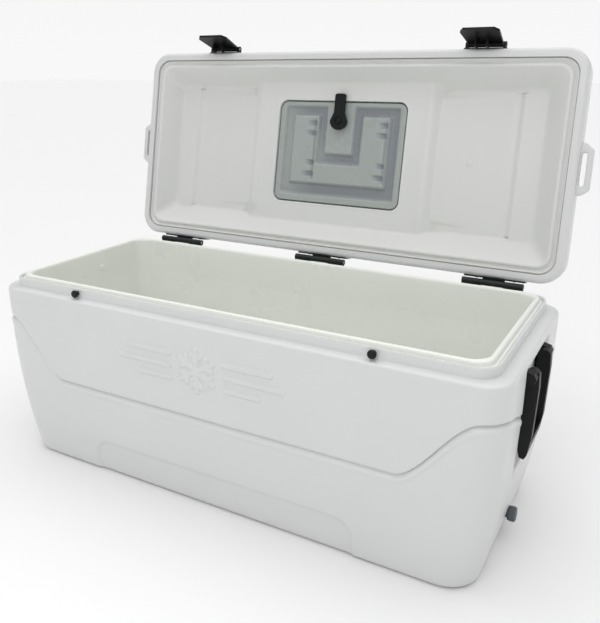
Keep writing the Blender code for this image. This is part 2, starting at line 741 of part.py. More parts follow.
# ---------------------------------------------------------------- the hatch

def shaft_bore(radius):
    """The cam shaft's passage through the hatch."""
    return rod((0, CAM_Y, RIM_Z), radius, 0, 120 * MM, "Z", 20)


def hatch_origin():
    """A point on the hatch's hinge line with the lid shut."""
    return (0, HATCH_AXIS_Y, RIM_Z + HATCH_AXIS_Z)


def hatch():
    """Cover, gasket, foam and translucent inner pan of the hatch."""
    turn = lid_open()
    over = COVER_OVER
    low = POCKET_FLOOR + 3.6 * MM
    half_x = HATCH_X + over
    half_y = HATCH_Y + over
    skirt = 6 * MM
    cover_rings = [
        hatch_ring(HATCH_X - skirt - 6 * MM, HATCH_Y - skirt - 6 * MM, COVER_TOP - 5 * MM, 12 * MM),
        hatch_ring(HATCH_X - skirt - 3 * MM, HATCH_Y - skirt - 3 * MM, low - 12 * MM, 15 * MM),
        hatch_ring(HATCH_X - 2 * MM, HATCH_Y - 2 * MM, low - 12 * MM, 18 * MM),
        hatch_ring(HATCH_X - 2 * MM, HATCH_Y - 2 * MM, low, 18 * MM),
        hatch_ring(half_x, half_y, low, 22 * MM),
        hatch_ring(half_x, half_y, COVER_TOP - 4 * MM, 22 * MM),
        hatch_ring(half_x - 1.2 * MM, half_y - 1.2 * MM, COVER_TOP - 1.2 * MM, 21 * MM),
        hatch_ring(half_x - 4 * MM, half_y - 4 * MM, COVER_TOP, 20 * MM),
    ]
    cover = finish("hatch_cover", loft(cover_rings), WHITE, 0.32, 0.0, turn, hatch_origin())
    tools = []
    for x in (-70 * MM, 70 * MM):
        tools.append(rod((x, HATCH_AXIS_Y, RIM_Z + HATCH_AXIS_Z), 5.2 * MM,
                         -16 * MM, 16 * MM, "X", 16))
        tools.append(box((x - 16 * MM, HATCH_CENTRE + half_y - 3 * MM, RIM_Z + HATCH_AXIS_Z - 3 * MM),
                         (x + 16 * MM, HATCH_AXIS_Y, RIM_Z + HATCH_AXIS_Z + 3 * MM)))
    for tool in tools:
        boolean(cover, tool, "UNION", turn)
    boolean(cover, joined(*[
        rod((x, HATCH_AXIS_Y, RIM_Z + HATCH_AXIS_Z), 2 * MM + CLEARANCE,
            -20 * MM, 20 * MM, "X", 14) for x in (-70 * MM, 70 * MM)]), "DIFFERENCE", turn)
    boolean(cover, shaft_bore(SHAFT + CLEARANCE), "DIFFERENCE", turn)

    gasket_rings = [
        hatch_ring(HATCH_X + 0.5 * MM, HATCH_Y + 0.5 * MM, POCKET_FLOOR + GAP, 20 * MM),
        hatch_ring(HATCH_X + 7.5 * MM, HATCH_Y + 7.5 * MM, POCKET_FLOOR + GAP, 22 * MM),
        hatch_ring(HATCH_X + 7 * MM, HATCH_Y + 7 * MM, low - GAP, 22 * MM),
        hatch_ring(HATCH_X - 0.5 * MM, HATCH_Y - 0.5 * MM, low - GAP, 20 * MM),
    ]
    finish("hatch_gasket", loft(gasket_rings, True), SLATE, 0.6, 0.0, turn, hatch_origin())

    inner_x = HATCH_X - 2.5 * MM
    inner_y = HATCH_Y - 2.5 * MM
    pan_top = low - 12 * MM - GAP
    pan_low = RECESS - MID_RISE + 3 * MM
    pan_rings = [
        hatch_ring(inner_x - 24 * MM, inner_y - 24 * MM, pan_low + 7 * MM, 12 * MM),
        hatch_ring(inner_x - 18 * MM, inner_y - 18 * MM, pan_low + 6 * MM, 14 * MM),
        hatch_ring(inner_x - 14 * MM, inner_y - 14 * MM, pan_low, 16 * MM),
        hatch_ring(inner_x - 2 * MM, inner_y - 2 * MM, pan_low, 17 * MM),
        hatch_ring(inner_x, inner_y, pan_low + 2 * MM, 18 * MM),
        hatch_ring(inner_x, inner_y, pan_top, 18 * MM),
        hatch_ring(inner_x - 8 * MM, inner_y - 8 * MM, pan_top, 12 * MM),
    ]
    pan = finish("hatch_liner", loft(pan_rings), GREY, 0.35, 0.0, turn, hatch_origin())
    boolean(pan, shaft_bore(SHAFT + CLEARANCE), "DIFFERENCE", turn)

    foam_rings = [
        hatch_ring(HATCH_X - skirt - 4 * MM, HATCH_Y - skirt - 4 * MM, low - 11.5 * MM, 12 * MM),
        hatch_ring(HATCH_X - skirt - 7 * MM, HATCH_Y - skirt - 7 * MM,
                   COVER_TOP - 5 * MM - GAP, 11 * MM),
    ]
    foam = finish("hatch_foam", loft(foam_rings), FOAM, 0.9, 0.0, turn, hatch_origin())
    boolean(foam, shaft_bore(SHAFT + 2 * CLEARANCE), "DIFFERENCE", turn)


def hatch_rod():
    """The rod the hatch swings on, held by three posts on the pocket floor."""
    z = RIM_Z + HATCH_AXIS_Z
    turn = lid_open()
    obj = finish("hatch_hinge_rod", rod((0, HATCH_AXIS_Y, z), 2 * MM, -108 * MM, 108 * MM, "X", 14),
                 WHITE, 0.35, 0.0, turn)
    for x in (-98 * MM, 0.0, 98 * MM):
        block = box((x - 9 * MM, HATCH_AXIS_Y - 4 * MM, RIM_Z + POCKET_FLOOR + GAP),
                    (x + 9 * MM, HATCH_AXIS_Y + 4 * MM, z + 4 * MM))
        boolean(obj, block, "UNION", turn)
    return obj


def hatch_cam():
    """Knob and shaft through the hatch, with the black locking lever inside."""
    turn = lid_open()
    origin = (0, CAM_Y, RIM_Z + RECESS)
    lever_low = RECESS - MID_RISE - 11 * MM
    lever_high = lever_low + 8 * MM
    hub_top = RECESS - MID_RISE + 9.5 * MM
    knob = (
        (0, lever_high + 3 * MM), (SHAFT - 1.5 * MM, lever_high + 3 * MM),
        (SHAFT - 1.5 * MM, hub_top + 1.5 * MM), (SHAFT, hub_top + 1.5 * MM),
        (SHAFT, COVER_TOP + GAP), (19 * MM, COVER_TOP + GAP), (19 * MM, COVER_TOP + 5 * MM),
        (17 * MM, COVER_TOP + 7 * MM), (0, COVER_TOP + 7 * MM),
    )
    finish("hatch_knob", turned(knob, (0, CAM_Y, RIM_Z), "Z", 24), WHITE, 0.35, 0.0, turn, origin)

    points = []
    for k in range(13):
        angle = math.radians(15 * k)
        points.append((20 * MM * math.cos(angle), CAM_Y + 20 * MM * math.sin(angle)))
    tip = CAM_Y - CAM_REACH
    points += [(-12 * MM, CAM_Y - 18 * MM), (-12 * MM, tip + 3 * MM), (-9 * MM, tip),
               (9 * MM, tip), (12 * MM, tip + 3 * MM), (12 * MM, CAM_Y - 18 * MM)]
    lever = finish("hatch_lever", prism(points, RIM_Z + lever_low, RIM_Z + lever_high, "Z"),
                   BLACK, 0.4, 0.0, turn, origin)
    hub = rod((0, CAM_Y, RIM_Z), 11 * MM, lever_high - 1 * MM, hub_top - 1 * MM, "Z", 20)
    boolean(lever, hub, "UNION", turn)
    socket = rod((0, CAM_Y, RIM_Z), SHAFT - 1.5 * MM + GAP, lever_high + 2.6 * MM,
                 hub_top + 10 * MM, "Z", 20)
    boolean(lever, socket, "DIFFERENCE", turn)
    recess = rod((0, CAM_Y, RIM_Z), 9 * MM, -5 * MM, lever_low + 2.5 * MM, "Z", 20)
    boolean(lever, recess, "DIFFERENCE", turn)
    cap = ((0, lever_low - 1.2 * MM), (4.5 * MM, lever_low - 1 * MM),
           (6.5 * MM, lever_low + 0.2 * MM), (6.5 * MM, lever_low + 2.5 * MM - GAP),
           (0, lever_low + 2.5 * MM - GAP))
    finish("hatch_lever_screw", turned(cap, (0, CAM_Y, RIM_Z), "Z", 16), BLACK, 0.35, 0.0,
           turn, origin)


# ---------------------------------------------------------------- hinges

def hinges():
    """Three hinges, each a leaf on the tub, a leaf on the lid and a pin."""
    turn = lid_open()
    names = ("left", "middle", "right")
    middle = HINGE_HALF * 0.36
    back = HALF_Y + GAP
    hole = PIN + 0.4 * MM
    for name, x in zip(names, HINGE_X):
        leaf = box((x - HINGE_HALF, back, SHOULDER - 38 * MM),
                   (x + HINGE_HALF, back + LEAF, SHOULDER - 2 * MM))
        body = finish("hinge_%s_body_leaf" % name, leaf, BLACK, 0.45)
        web = [(back, SHOULDER - 6 * MM), (back + LEAF, SHOULDER - 9 * MM),
               (AXIS_Y + 3 * MM, RIM_Z - 3 * MM), (AXIS_Y - 4 * MM, RIM_Z - 1 * MM)]
        for low, high in ((-HINGE_HALF, -middle - GAP), (middle + GAP, HINGE_HALF)):
            boolean(body, prism(web, x + low, x + high, "X"), "UNION")
            boolean(body, rod((x, AXIS_Y, RIM_Z), KNUCKLE, low, high, "X", 20), "UNION")
        tools = [rod((x, AXIS_Y, RIM_Z), hole, -HINGE_HALF - 5 * MM, HINGE_HALF + 5 * MM, "X", 16)]
        for sx in hinge_screws(x):
            tools.append(screw_bore((sx, HALF_Y, BODY_SCREW_Z), (0, 1), 5 * MM))
        boolean(body, joined(*tools), "DIFFERENCE")

        leaf = box((x - HINGE_HALF, back, RIM_Z + 9 * MM), (x + HINGE_HALF, back + LEAF, RIM_Z + 38 * MM))
        lid = finish("hinge_%s_lid_leaf" % name, leaf, BLACK, 0.45, 0.0, turn)
        web = [(back, RIM_Z + 14 * MM), (AXIS_Y - 4 * MM, RIM_Z + 1 * MM),
               (AXIS_Y + 3 * MM, RIM_Z + 3 * MM), (back + LEAF, RIM_Z + 16 * MM)]
        boolean(lid, prism(web, x - middle, x + middle, "X"), "UNION", turn)
        boolean(lid, rod((x, AXIS_Y, RIM_Z), KNUCKLE, -middle, middle, "X", 20), "UNION", turn)
        tools = [rod((x, AXIS_Y, RIM_Z), hole, -HINGE_HALF - 5 * MM, HINGE_HALF + 5 * MM, "X", 16)]
        for sx in hinge_screws(x):
            tools.append(screw_bore((sx, HALF_Y, LID_SCREW_Z), (0, 1), 3 * MM))
        boolean(lid, joined(*tools), "DIFFERENCE", turn)

        finish("hinge_%s_pin" % name, rod((x, AXIS_Y, RIM_Z), PIN, -HINGE_HALF + 1 * MM,
                                          HINGE_HALF - 1 * MM, "X", 16), STEEL, 0.3, 1.0)
        for side, sx in zip(("a", "b"), hinge_screws(x)):
            grip = GAP + LEAF
            screw("hinge_%s_body_screw_%s" % (name, side), (sx, HALF_Y, BODY_SCREW_Z), (0, 1), grip)
            screw("hinge_%s_lid_screw_%s" % (name, side), (sx, HALF_Y, LID_SCREW_Z), (0, 1), grip, turn)


# ---------------------------------------------------------------- latches

def latches():
    """Two latches on the lid's front edge and the posts they close over."""
    lid = lid_open()
    axis_y = -HALF_Y - LATCH_OUT
    axis_z = RIM_Z + LATCH_Z
    for name, x in zip(("left", "right"), LATCH_X):
        swing = latch_open(x)
        ear = STRAP_HALF + 1 * MM
        base = box((x - ear - 7 * MM, -HALF_Y - GAP - 3 * MM, axis_z - 8 * MM),
                   (x + ear + 7 * MM, -HALF_Y - GAP, axis_z + 19 * MM))
        bracket = finish("latch_%s_bracket" % name, base, BLACK, 0.45, 0.0, lid)
        for side in (-1, 1):
            near, far = sorted((side * ear, side * (ear + 5 * MM)))
            cheek = box((x + near, axis_y, axis_z - 6 * MM),
                        (x + far, -HALF_Y - GAP - 1 * MM, axis_z + 6 * MM))
            boolean(bracket, cheek, "UNION", lid)
            boolean(bracket, rod((x, axis_y, axis_z), 6 * MM, near, far, "X", 16), "UNION", lid)
        tools = [rod((x, axis_y, axis_z), PIN + 0.3 * MM, -60 * MM, 60 * MM, "X", 14),
                 screw_bore((x, -HALF_Y, axis_z + 14 * MM), (0, -1), 5 * MM)]
        boolean(bracket, joined(*tools), "DIFFERENCE", lid)
        finish("latch_%s_pin" % name, rod((x, axis_y, axis_z), PIN, -ear - 4 * MM, ear + 4 * MM, "X", 14),
               STEEL, 0.3, 1.0, lid)
        screw("latch_%s_screw" % name, (x, -HALF_Y, axis_z + 14 * MM), (0, -1), GAP + 3 * MM, lid)

        half = STRAP_HALF
        plate_y = axis_y
        points = [(x - half, axis_z - 2 * MM), (x - half - 4 * MM, axis_z - STRAP_LENGTH + 12 * MM),
                  (x - half + 4 * MM, axis_z - STRAP_LENGTH), (x + half - 4 * MM, axis_z - STRAP_LENGTH),
                  (x + half + 4 * MM, axis_z - STRAP_LENGTH + 12 * MM), (x + half, axis_z - 2 * MM)]
        plate = prism(points, plate_y - STRAP_THICK + 1 * MM, plate_y + 1 * MM, "Y")
        strap = finish("latch_%s_strap" % name, plate, BLACK, 0.4, 0.0, swing, (x, axis_y, axis_z))
        boolean(strap, rod((x, axis_y, axis_z), 5.5 * MM, -half, half, "X", 18), "UNION", swing)
        for side in (-1, 1):
            near, far = sorted((side * (POST_HEAD + 1.5 * MM), side * (POST_HEAD + 5.5 * MM)))
            cheek = box((x + near, plate_y, axis_z - LATCH_Z - 17 * MM),
                        (x + far, -HALF_Y + 8 * MM, axis_z - LATCH_Z - 2 * MM))
            boolean(strap, cheek, "UNION", swing)
        boolean(strap, rod((x, axis_y, axis_z), PIN + 0.3 * MM, -60 * MM, 60 * MM, "X", 14),
                "DIFFERENCE", swing)

        band = -HALF_Y + 17 * MM
        post = ((0, 4 * MM), (3 * MM, 4 * MM), (3 * MM, -GAP), (5 * MM, -GAP), (5 * MM, -5 * MM),
                (POST_HEAD, -6.5 * MM), (POST_HEAD, -10 * MM), (POST_HEAD - 1.5 * MM, -12 * MM),
                (0, -12.5 * MM))
        finish("latch_%s_post" % name, turned(post, (x, band, RIM_Z - POST_DROP), "Y", 20), BLACK, 0.4)


# ---------------------------------------------------------------- handles

def handles():
    """A swing-up bail and its two brackets on each end."""
    for name, sign in (("left", -1), ("right", 1)):
        wall, axis_x = handle_side(sign)
        z = HANDLE_AXIS_Z
        inner = HANDLE_HALF - ARM_WIDTH
        low = z - HANDLE_DROP
        arm_profile = [
            (axis_x - sign * 9 * MM, z + 6 * MM), (axis_x - sign * 4 * MM, z + 11 * MM),
            (axis_x + sign * 5 * MM, z + 11 * MM), (axis_x + sign * 11 * MM, z + 5 * MM),
            (axis_x + sign * 12 * MM, z - 20 * MM), (axis_x + sign * 8 * MM, low + 40 * MM),
            (axis_x + sign * 3 * MM, low + 8 * MM), (axis_x - sign * 1 * MM, low),
            (axis_x - sign * 9 * MM, low + 2 * MM), (axis_x - sign * 12 * MM, low + 14 * MM),
            (axis_x - sign * 11 * MM, z - 20 * MM),
        ]
        bail = finish("handle_%s_bail" % name,
                      prism(arm_profile, -HANDLE_HALF, HANDLE_HALF, "Y"), BLACK, 0.5,
                      origin=(axis_x, 0, z))
        hollow = box((axis_x - 40 * MM, -inner, low + 26 * MM), (axis_x + 40 * MM, inner, z + 30 * MM))
        boolean(bail, hollow, "DIFFERENCE")
        for side in (-1, 1):
            start, end = sorted((side * (HANDLE_HALF - 2 * MM), side * (HANDLE_HALF + 12 * MM)))
            boolean(bail, rod((axis_x, 0, z), 5 * MM, start, end, "Y", 16), "UNION")
        for side, label in ((-1, "front"), (1, "back")):
            middle = bracket_y(side)
            top_x = sign * (end_half(z + 14 * MM) - HANDLE_POCKET + GAP)
            foot_x = sign * (end_half(z - 30 * MM) - HANDLE_POCKET + GAP)
            profile = [
                (top_x, z + 14 * MM), (wall + sign * 10 * MM, z + 13 * MM),
                (axis_x + sign * 6 * MM, z + 10 * MM), (axis_x + sign * 10 * MM, z + 2 * MM),
                (axis_x + sign * 7 * MM, z - 8 * MM), (wall + sign * 5 * MM, z - 13 * MM),
                (foot_x + sign * 4 * MM, z - 30 * MM), (foot_x, z - 30 * MM),
            ]
            bracket = finish("handle_%s_bracket_%s" % (name, label),
                             prism(profile, middle - BRACKET / 2, middle + BRACKET / 2, "Y"),
                             BLACK, 0.5)
            start, end = sorted((side * (HANDLE_HALF - 10 * MM), side * (HANDLE_HALF + 13 * MM)))
            tools = [rod((axis_x, 0, z), 5 * MM + CLEARANCE, start, end, "Y", 16),
                     screw_bore((wall, middle, z - 20 * MM), (sign, 0), 5 * MM)]
            boolean(bracket, joined(*tools), "DIFFERENCE")
            screw("handle_%s_screw_%s" % (name, label), (wall, middle, z - 20 * MM), (sign, 0),
                  GAP + 4.4 * MM)


# ---------------------------------------------------------------- drain

def drain():
    """Spout through the end wall, its nut, and the screw cap with its seal."""
    inside = HALF_X - liner_inset(DRAIN_Z)
    outside = end_half(DRAIN_Z)
    end = outside + 11.5 * MM
    spout = ((SPOUT_BORE, inside - 3.4 * MM), (11 * MM, inside - 3.4 * MM), (11 * MM, inside - 1.4 * MM),
             (SPOUT, inside - 1.2 * MM), (SPOUT, end), (SPOUT_BORE, end))
    finish("drain_spout", turned(spout, (0, 0, DRAIN_Z), "X", 24), SLATE, 0.45)
    seat = end_half(DRAIN_Z + CAP - 0.5 * MM) + 0.2 * MM
    nut = ((SPOUT + CLEARANCE, seat), (CAP - 0.5 * MM, seat),
           (CAP - 0.5 * MM, outside + 4.2 * MM), (CAP - 1.5 * MM, outside + 5 * MM),
           (SPOUT + CLEARANCE, outside + 5 * MM))
    finish("drain_nut", turned(nut, (0, 0, DRAIN_Z), "X", 24), SLATE, 0.45)
    origin = (end, 0, DRAIN_Z)
    seal = ((0, end + GAP), (SPOUT - 0.2 * MM, end + GAP),
            (SPOUT - 0.2 * MM, end + 2 * MM), (0, end + 2 * MM))
    finish("drain_cap_seal", turned(seal, (0, 0, DRAIN_Z), "X", 20), BLACK, 0.7, origin=origin)
    start = outside + 5.4 * MM
    cap = ((0, end + 2 * MM + GAP), (SPOUT + CLEARANCE, end + 2 * MM + GAP),
           (SPOUT + CLEARANCE, start), (CAP, start), (CAP, start + CAP_LENGTH - 2 * MM),
           (CAP - 2 * MM, start + CAP_LENGTH), (0, start + CAP_LENGTH))
    finish("drain_cap", turned(cap, (0, 0, DRAIN_Z), "X", 24), SLATE, 0.45, origin=origin)


def main():
    """Clear the scene and build every piece."""
    for obj in list(bpy.data.objects):
        bpy.data.objects.remove(obj, do_unlink=True)
    tub_shell()
    tub_liner()
    tub_foam()
    lid_shell()
    lid_liner()
    lid_foam()
    hatch()
    hatch_rod()
    hatch_cam()
    hinges()
    latches()
    handles()
    drain()


main()
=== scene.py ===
"""Looks of a large white chest cooler with its lid held open."""

import json
import math

import bmesh
import bpy
import numpy as np
from mathutils import Matrix, Vector


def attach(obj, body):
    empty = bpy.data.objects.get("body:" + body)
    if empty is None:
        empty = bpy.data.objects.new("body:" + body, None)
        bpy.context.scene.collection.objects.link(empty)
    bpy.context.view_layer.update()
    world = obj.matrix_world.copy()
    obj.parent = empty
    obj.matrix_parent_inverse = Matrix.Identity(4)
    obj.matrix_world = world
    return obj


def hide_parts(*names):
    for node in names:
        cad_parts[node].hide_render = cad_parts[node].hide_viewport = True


bl_info = {
    "name": "Chest Cooler",
    "version": (1, 0, 0),
    "blender": (4, 5, 0),
    "location": "3D View > Sidebar > Cooler",
    "description": "Builds the visible pieces of a chest cooler round its fixed frame",
    "category": "Object",
}

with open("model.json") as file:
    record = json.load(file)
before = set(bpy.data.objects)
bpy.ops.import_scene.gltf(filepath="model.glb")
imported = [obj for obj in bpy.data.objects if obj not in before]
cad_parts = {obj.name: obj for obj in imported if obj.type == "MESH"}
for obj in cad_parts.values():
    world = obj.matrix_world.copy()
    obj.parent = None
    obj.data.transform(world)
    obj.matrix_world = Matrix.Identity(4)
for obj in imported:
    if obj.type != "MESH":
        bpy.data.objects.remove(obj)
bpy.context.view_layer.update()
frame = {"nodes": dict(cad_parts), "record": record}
NODES = frame["nodes"]
JOINTS = {joint["name"]: joint for joint in frame["record"]["behaviour"]["joints"]}
HINGE = JOINTS["lid_hinge"]
MM = 0.001

NO_FANS = np.empty((0, 3), int)

# the liner's inner wall: set in from the lid's outline, drawn in further towards its floor
LIP_IN = 37 * MM
LINER_TAPER = 12 * MM
LINER_FLOOR = 24 * MM
LINER_FILLET = 26 * MM
LINER_CORNER = 34 * MM

# the pocket behind each handle: where its flanks, foot and head begin and end
DENT_DEPTH = 14 * MM
DENT_FLANK = (80 * MM, 98 * MM)
DENT_FOOT = (158 * MM, 174 * MM)
DENT_HEAD = (349 * MM, 355 * MM)

# the sunk panel at the foot of the front
PANEL_CORNER = 34 * MM
PANEL_DEPTH = 3.5 * MM

# the emblem: its centre along and up the front, its half sizes, and the half width,
# softness and height of its strokes
EMBLEM_AT = (-17 * MM, 284 * MM)
EMBLEM_HALF = (186 * MM, 47 * MM)
STROKE_HALF = 5.2 * MM
STROKE_SOFT = 2.4 * MM
STROKE_RISE = 2.9 * MM

# the hatch sits a little behind the middle of the lid's depth
HATCH_SHIFT = -4 * MM

# the camera: place in metres, turn about the vertical, tilt and roll in degrees,
# lens in millimetres on a 36 mm sensor, and the shift of the frame
CAMERA_AT = (0.69905, -1.21378, 0.80705)
CAMERA_TURN = (30.906, 14.800, -0.229)
CAMERA_SENSOR = 36
CAMERA_LENS = 42.47191
CAMERA_SHIFT = (0.0718138, -0.0796469)


# ------------------------------------------------------------- colours

def linear(code):
    """A colour written as sRGB hex, turned into linear light by the sRGB curve."""
    parts = [int(code[k:k + 2], 16) / 255 for k in (0, 2, 4)]
    return tuple(c / 12.92 if c <= 0.04045 else ((c + 0.055) / 1.055) ** 2.4 for c in parts)


def swatch(name, code, description):
    """A colour property with its default."""
    return bpy.props.FloatVectorProperty(name=name, description=description, subtype="COLOR",
                                         size=3, min=0, max=1, default=linear(code))


def length(name, value, description):
    """A size property in metres with its default."""
    return bpy.props.FloatProperty(name=name, description=description, subtype="DISTANCE",
                                   unit="LENGTH", min=0, default=value)


class CoolerColours(bpy.types.PropertyGroup):
    """Colours of the mouldings and fittings."""

    shell: swatch("Shell", "D4D5D5", "Outer skins of tub and lid")
    # painted light: the tub liner's colour is set lighter than the lid liner's, though both are
    # one plastic
    liner: swatch("Tub liner", "E9EBE5", "Food-safe inner skin of the tub")
    # painted shade: the lid liner's colour is the same plastic as the tub liner's, set darker
    lid_liner: swatch("Lid liner", "D9DAD8", "Inner face of the lid")
    hatch: swatch("Hatch pan", "A3AAA7", "Smoke-grey inner pan of the hatch")
    # painted shade: the colour that the hatch pan's channels and pockets are darkened towards
    hatch_channel_shade: swatch("Hatch channels", "797C85", "Deep channels of the hatch's pan")
    black: swatch("Fittings", "0C0E0F", "Handles, latches and posts")
    hinge: swatch("Hinges", "18201E", "Hinge leaves")
    slate: swatch("Drain", "53575A", "Drain cap, spout and nut")
    floor: swatch("Floor", "EEEEEE", "Studio floor")


class CoolerSizes(bpy.types.PropertyGroup):
    """Sizes of the mouldings. They match the fixed frame."""

    half_x: length("Half length", 0.512, "Half of the lid's length")
    half_y: length("Half depth", 0.225, "Half of the depth")
    shoulder: length("Shoulder", 0.369, "Height of the tub's shoulder")
    rim: length("Rim", HINGE["pos_m"][2], "Height of the shut lid's lower edge")
    lid_height: length("Lid height", 0.088, "Height of the shut lid above the rim")
    over: length("Overhang", 0.006, "How far the tub's ends stand out past the lid")
    end_taper: length("End taper", 0.036, "Draw-in of each end at the foot")
    front_taper: length("Front taper", 0.022, "Draw-in of front and back at the foot")
    waist_low: length("Waist in front", 0.183, "Height of the waist groove in front")
    waist_high: length("Waist at corners", 0.300, "Height of the waist groove at the corners")
    waist_end: length("Waist at ends", 0.262, "Height of the waist groove at the ends")
    panel_half: length("Panel", 0.282, "Half width of the sunk panel in front")
    panel_top: length("Panel top", 0.073, "Height of the sunk panel in front")
    recess: length("Lid recess", 0.050, "Depth of the lid's inner recess")
    mid_rise: length("Middle rise", 0.012, "How far the middle of the lid's inner face stands up")
    hatch_x: length("Hatch length", 0.156, "Half length of the hatch opening")
    hatch_y: length("Hatch depth", 0.117, "Half depth of the hatch opening")
    lid_turn: bpy.props.FloatProperty(name="Lid turn", description="How far the lid stands open",
                                      subtype="ANGLE", unit="ROTATION",
                                      default=math.radians(100))


def sizes():
    """The size settings of this scene."""
    return bpy.context.scene.cooler_sizes


def colours():
    """The colour settings of this scene."""
    return bpy.context.scene.cooler_colours


# ------------------------------------------------------------- shape tools

def ease(value, low, high):
    """0 below low, 1 above high, and the smooth cubic 3t^2 - 2t^3 between."""
    t = np.clip((value - low) / (high - low), 0, 1)
    return t * t * (3 - 2 * t)


def soft_least(a, b, reach):
    """The smaller of two values, with the corner between them rounded over a reach."""
    h = np.clip(0.5 + 0.5 * (b - a) / reach, 0, 1)
    return b * (1 - h) + a * h - reach * h * (1 - h)


def columns(table):
    """The columns of a small table of millimetres, in metres."""
    return [np.array(v) * MM for v in zip(*table)]


def stations(long_count, short_count, corner_count):
    """Where points sit round a rounded rectangle: corner-centre factors and unit normals.

    A point is factor * (half size - radius) + normal * radius, so that one set of
    stations serves every ring of a loft.
    """
    factors = []
    normals = []
    sides = ((-1, 0, long_count), (0, 1, short_count), (1, 0, long_count), (0, -1, short_count))
    for k, (_, _, count) in enumerate(sides):
        t = np.linspace(-1, 1, count, endpoint=False)
        fixed = np.ones_like(t)
        along = ((t, -fixed), (fixed, t), (-t, fixed), (-fixed, -t))[k]
        factors.append(np.stack(along, -1))
        angle = math.radians(-90 + 90 * k)
        normals.append(np.tile([math.cos(angle), math.sin(angle)], (count, 1)))
        turn = np.linspace(angle, angle + math.pi / 2, corner_count, endpoint=False)
        corner = ((1, -1), (1, 1), (-1, 1), (-1, -1))[k]
        factors.append(np.tile(corner, (corner_count, 1)).astype(float))
        normals.append(np.stack([np.cos(turn), np.sin(turn)], -1))
    return np.concatenate(factors), np.concatenate(normals)


def rounded(half_x, half_y, radius, marks, centre_y=0.0):
    """Rings of rounded rectangles, one for each entry of the half sizes and radii."""
    factors, normals = marks
    half_x, half_y, radius, centre_y = np.broadcast_arrays(
        *[np.atleast_1d(np.asarray(v, float)) for v in (half_x, half_y, radius, centre_y)])
    reach = np.stack([half_x - radius, half_y - radius], -1)[:, None]
    points = factors[None] * reach + normals[None] * radius[:, None, None]
    points[..., 1] += centre_y[:, None]
    return points


def with_height(flat, z):
    """Rings lifted to their heights; z is one value a ring or one a point."""
    z = np.asarray(z, float)
    z = z[:, None] if z.ndim == 1 else z
    return np.concatenate([flat, np.broadcast_to(z, flat.shape[:2])[..., None]], -1)


def opened(points):
    """Points of the shut lid carried to the open lid: a turn about the hinge line."""
    angle = -sizes().lid_turn
    pivot = np.array(HINGE["pos_m"])
    d = points - pivot
    c, s = math.cos(angle), math.sin(angle)
    y, z = d[..., 1], d[..., 2]
    return np.stack([d[..., 0], y * c - z * s, y * s + z * c], -1) + pivot


def grid_faces(rows, columns, loop_rows, loop_columns):
    """Quads of a grid of points, closed on itself in either direction."""
    r = np.arange(rows if loop_rows else rows - 1)
    c = np.arange(columns if loop_columns else columns - 1)
    r, c = np.meshgrid(r, c, indexing="ij")
    nr = (r + 1) % rows
    nc = (c + 1) % columns
    return np.stack([r * columns + c, r * columns + nc, nr * columns + nc, nr * columns + c],
                    -1).reshape(-1, 4)


def signed_volume(points, faces):
    """Six times the volume inside a closed mesh: positive when its faces point out."""
    a, b, c = points[faces[:, 0]], points[faces[:, 1]], points[faces[:, 2]]
    total = np.einsum("ij,ij->", a, np.cross(b, c))
    if faces.shape[1] == 4:
        d = points[faces[:, 3]]
        total += np.einsum("ij,ij->", a, np.cross(c, d))
    return total


def surface(name, rings, loop=False, material=None, sharp=40):
    """A closed piece from rings of points; unless they loop, each end is fanned to its middle."""
    rows, columns, _ = rings.shape
    points = rings.reshape(-1, 3)
    quads = grid_faces(rows, columns, loop, True)
    fans = NO_FANS
    if not loop:
        ends = np.stack([rings[0].mean(0), rings[-1].mean(0)])
        points = np.concatenate([points, ends])
        k = np.arange(columns)
        n = (k + 1) % columns
        last = (rows - 1) * columns
        top = np.full(columns, rows * columns)
        fans = np.concatenate([np.stack([n, k, top], -1),
                               np.stack([last + k, last + n, top + 1], -1)])
    if signed_volume(points, quads) + (signed_volume(points, fans) if len(fans) else 0) < 0:
        quads = quads[:, ::-1]
        fans = fans[:, ::-1]
    return piece(name, points, quads, fans, material, sharp)


def piece(name, points, quads, fans, material, sharp=40):
    """A mesh object at the origin, with smooth faces and edges sharp past an angle."""
    mesh = bpy.data.meshes.new(name)
    mesh.vertices.add(len(points))
    mesh.vertices.foreach_set("co", np.asarray(points, np.float32).ravel())
    corners = np.concatenate([quads.ravel(), fans.ravel()])
    mesh.loops.add(len(corners))
    mesh.loops.foreach_set("vertex_index", corners.astype(np.int32))
    starts = np.concatenate([np.arange(len(quads)) * 4, quads.size + np.arange(len(fans)) * 3])
    mesh.polygons.add(len(starts))
    mesh.polygons.foreach_set("loop_start", starts.astype(np.int32))
    mesh.update(calc_edges=True)
    mesh.validate()
    mesh.shade_smooth()
    mesh.set_sharp_from_angle(angle=math.radians(sharp))
    obj = bpy.data.objects.new(name, mesh)
    bpy.context.scene.collection.objects.link(obj)
    if material is not None:
        mesh.materials.append(material)
    return obj


def rounded_copy(node, width, material):
    """A copy of a frame node with its corners rounded, standing for that node."""
    source = NODES[node]
    mesh = source.data.copy()
    bm = bmesh.new()
    bm.from_mesh(mesh)
    bmesh.ops.remove_doubles(bm, verts=bm.verts, dist=2e-5)
    bmesh.ops.dissolve_limit(bm, angle_limit=math.radians(1.5), verts=bm.verts, edges=bm.edges)
    bm.to_mesh(mesh)
    bm.free()
    mesh.materials.clear()
    mesh.materials.append(material)
    obj = bpy.data.objects.new(node + "_rounded", mesh)
    bpy.context.scene.collection.objects.link(obj)
    mesh.shade_smooth()
    bevel = obj.modifiers.new("edge", "BEVEL")
    bevel.width = width
    bevel.segments = 3
    bevel.limit_method = "ANGLE"
    bevel.angle_limit = math.radians(34)
    bevel.harden_normals = False
    bevel.use_clamp_overlap = True
    weighted = obj.modifiers.new("normals", "WEIGHTED_NORMAL")
    weighted.keep_sharp = True
    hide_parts(node)
    return obj


# ------------------------------------------------------------- materials

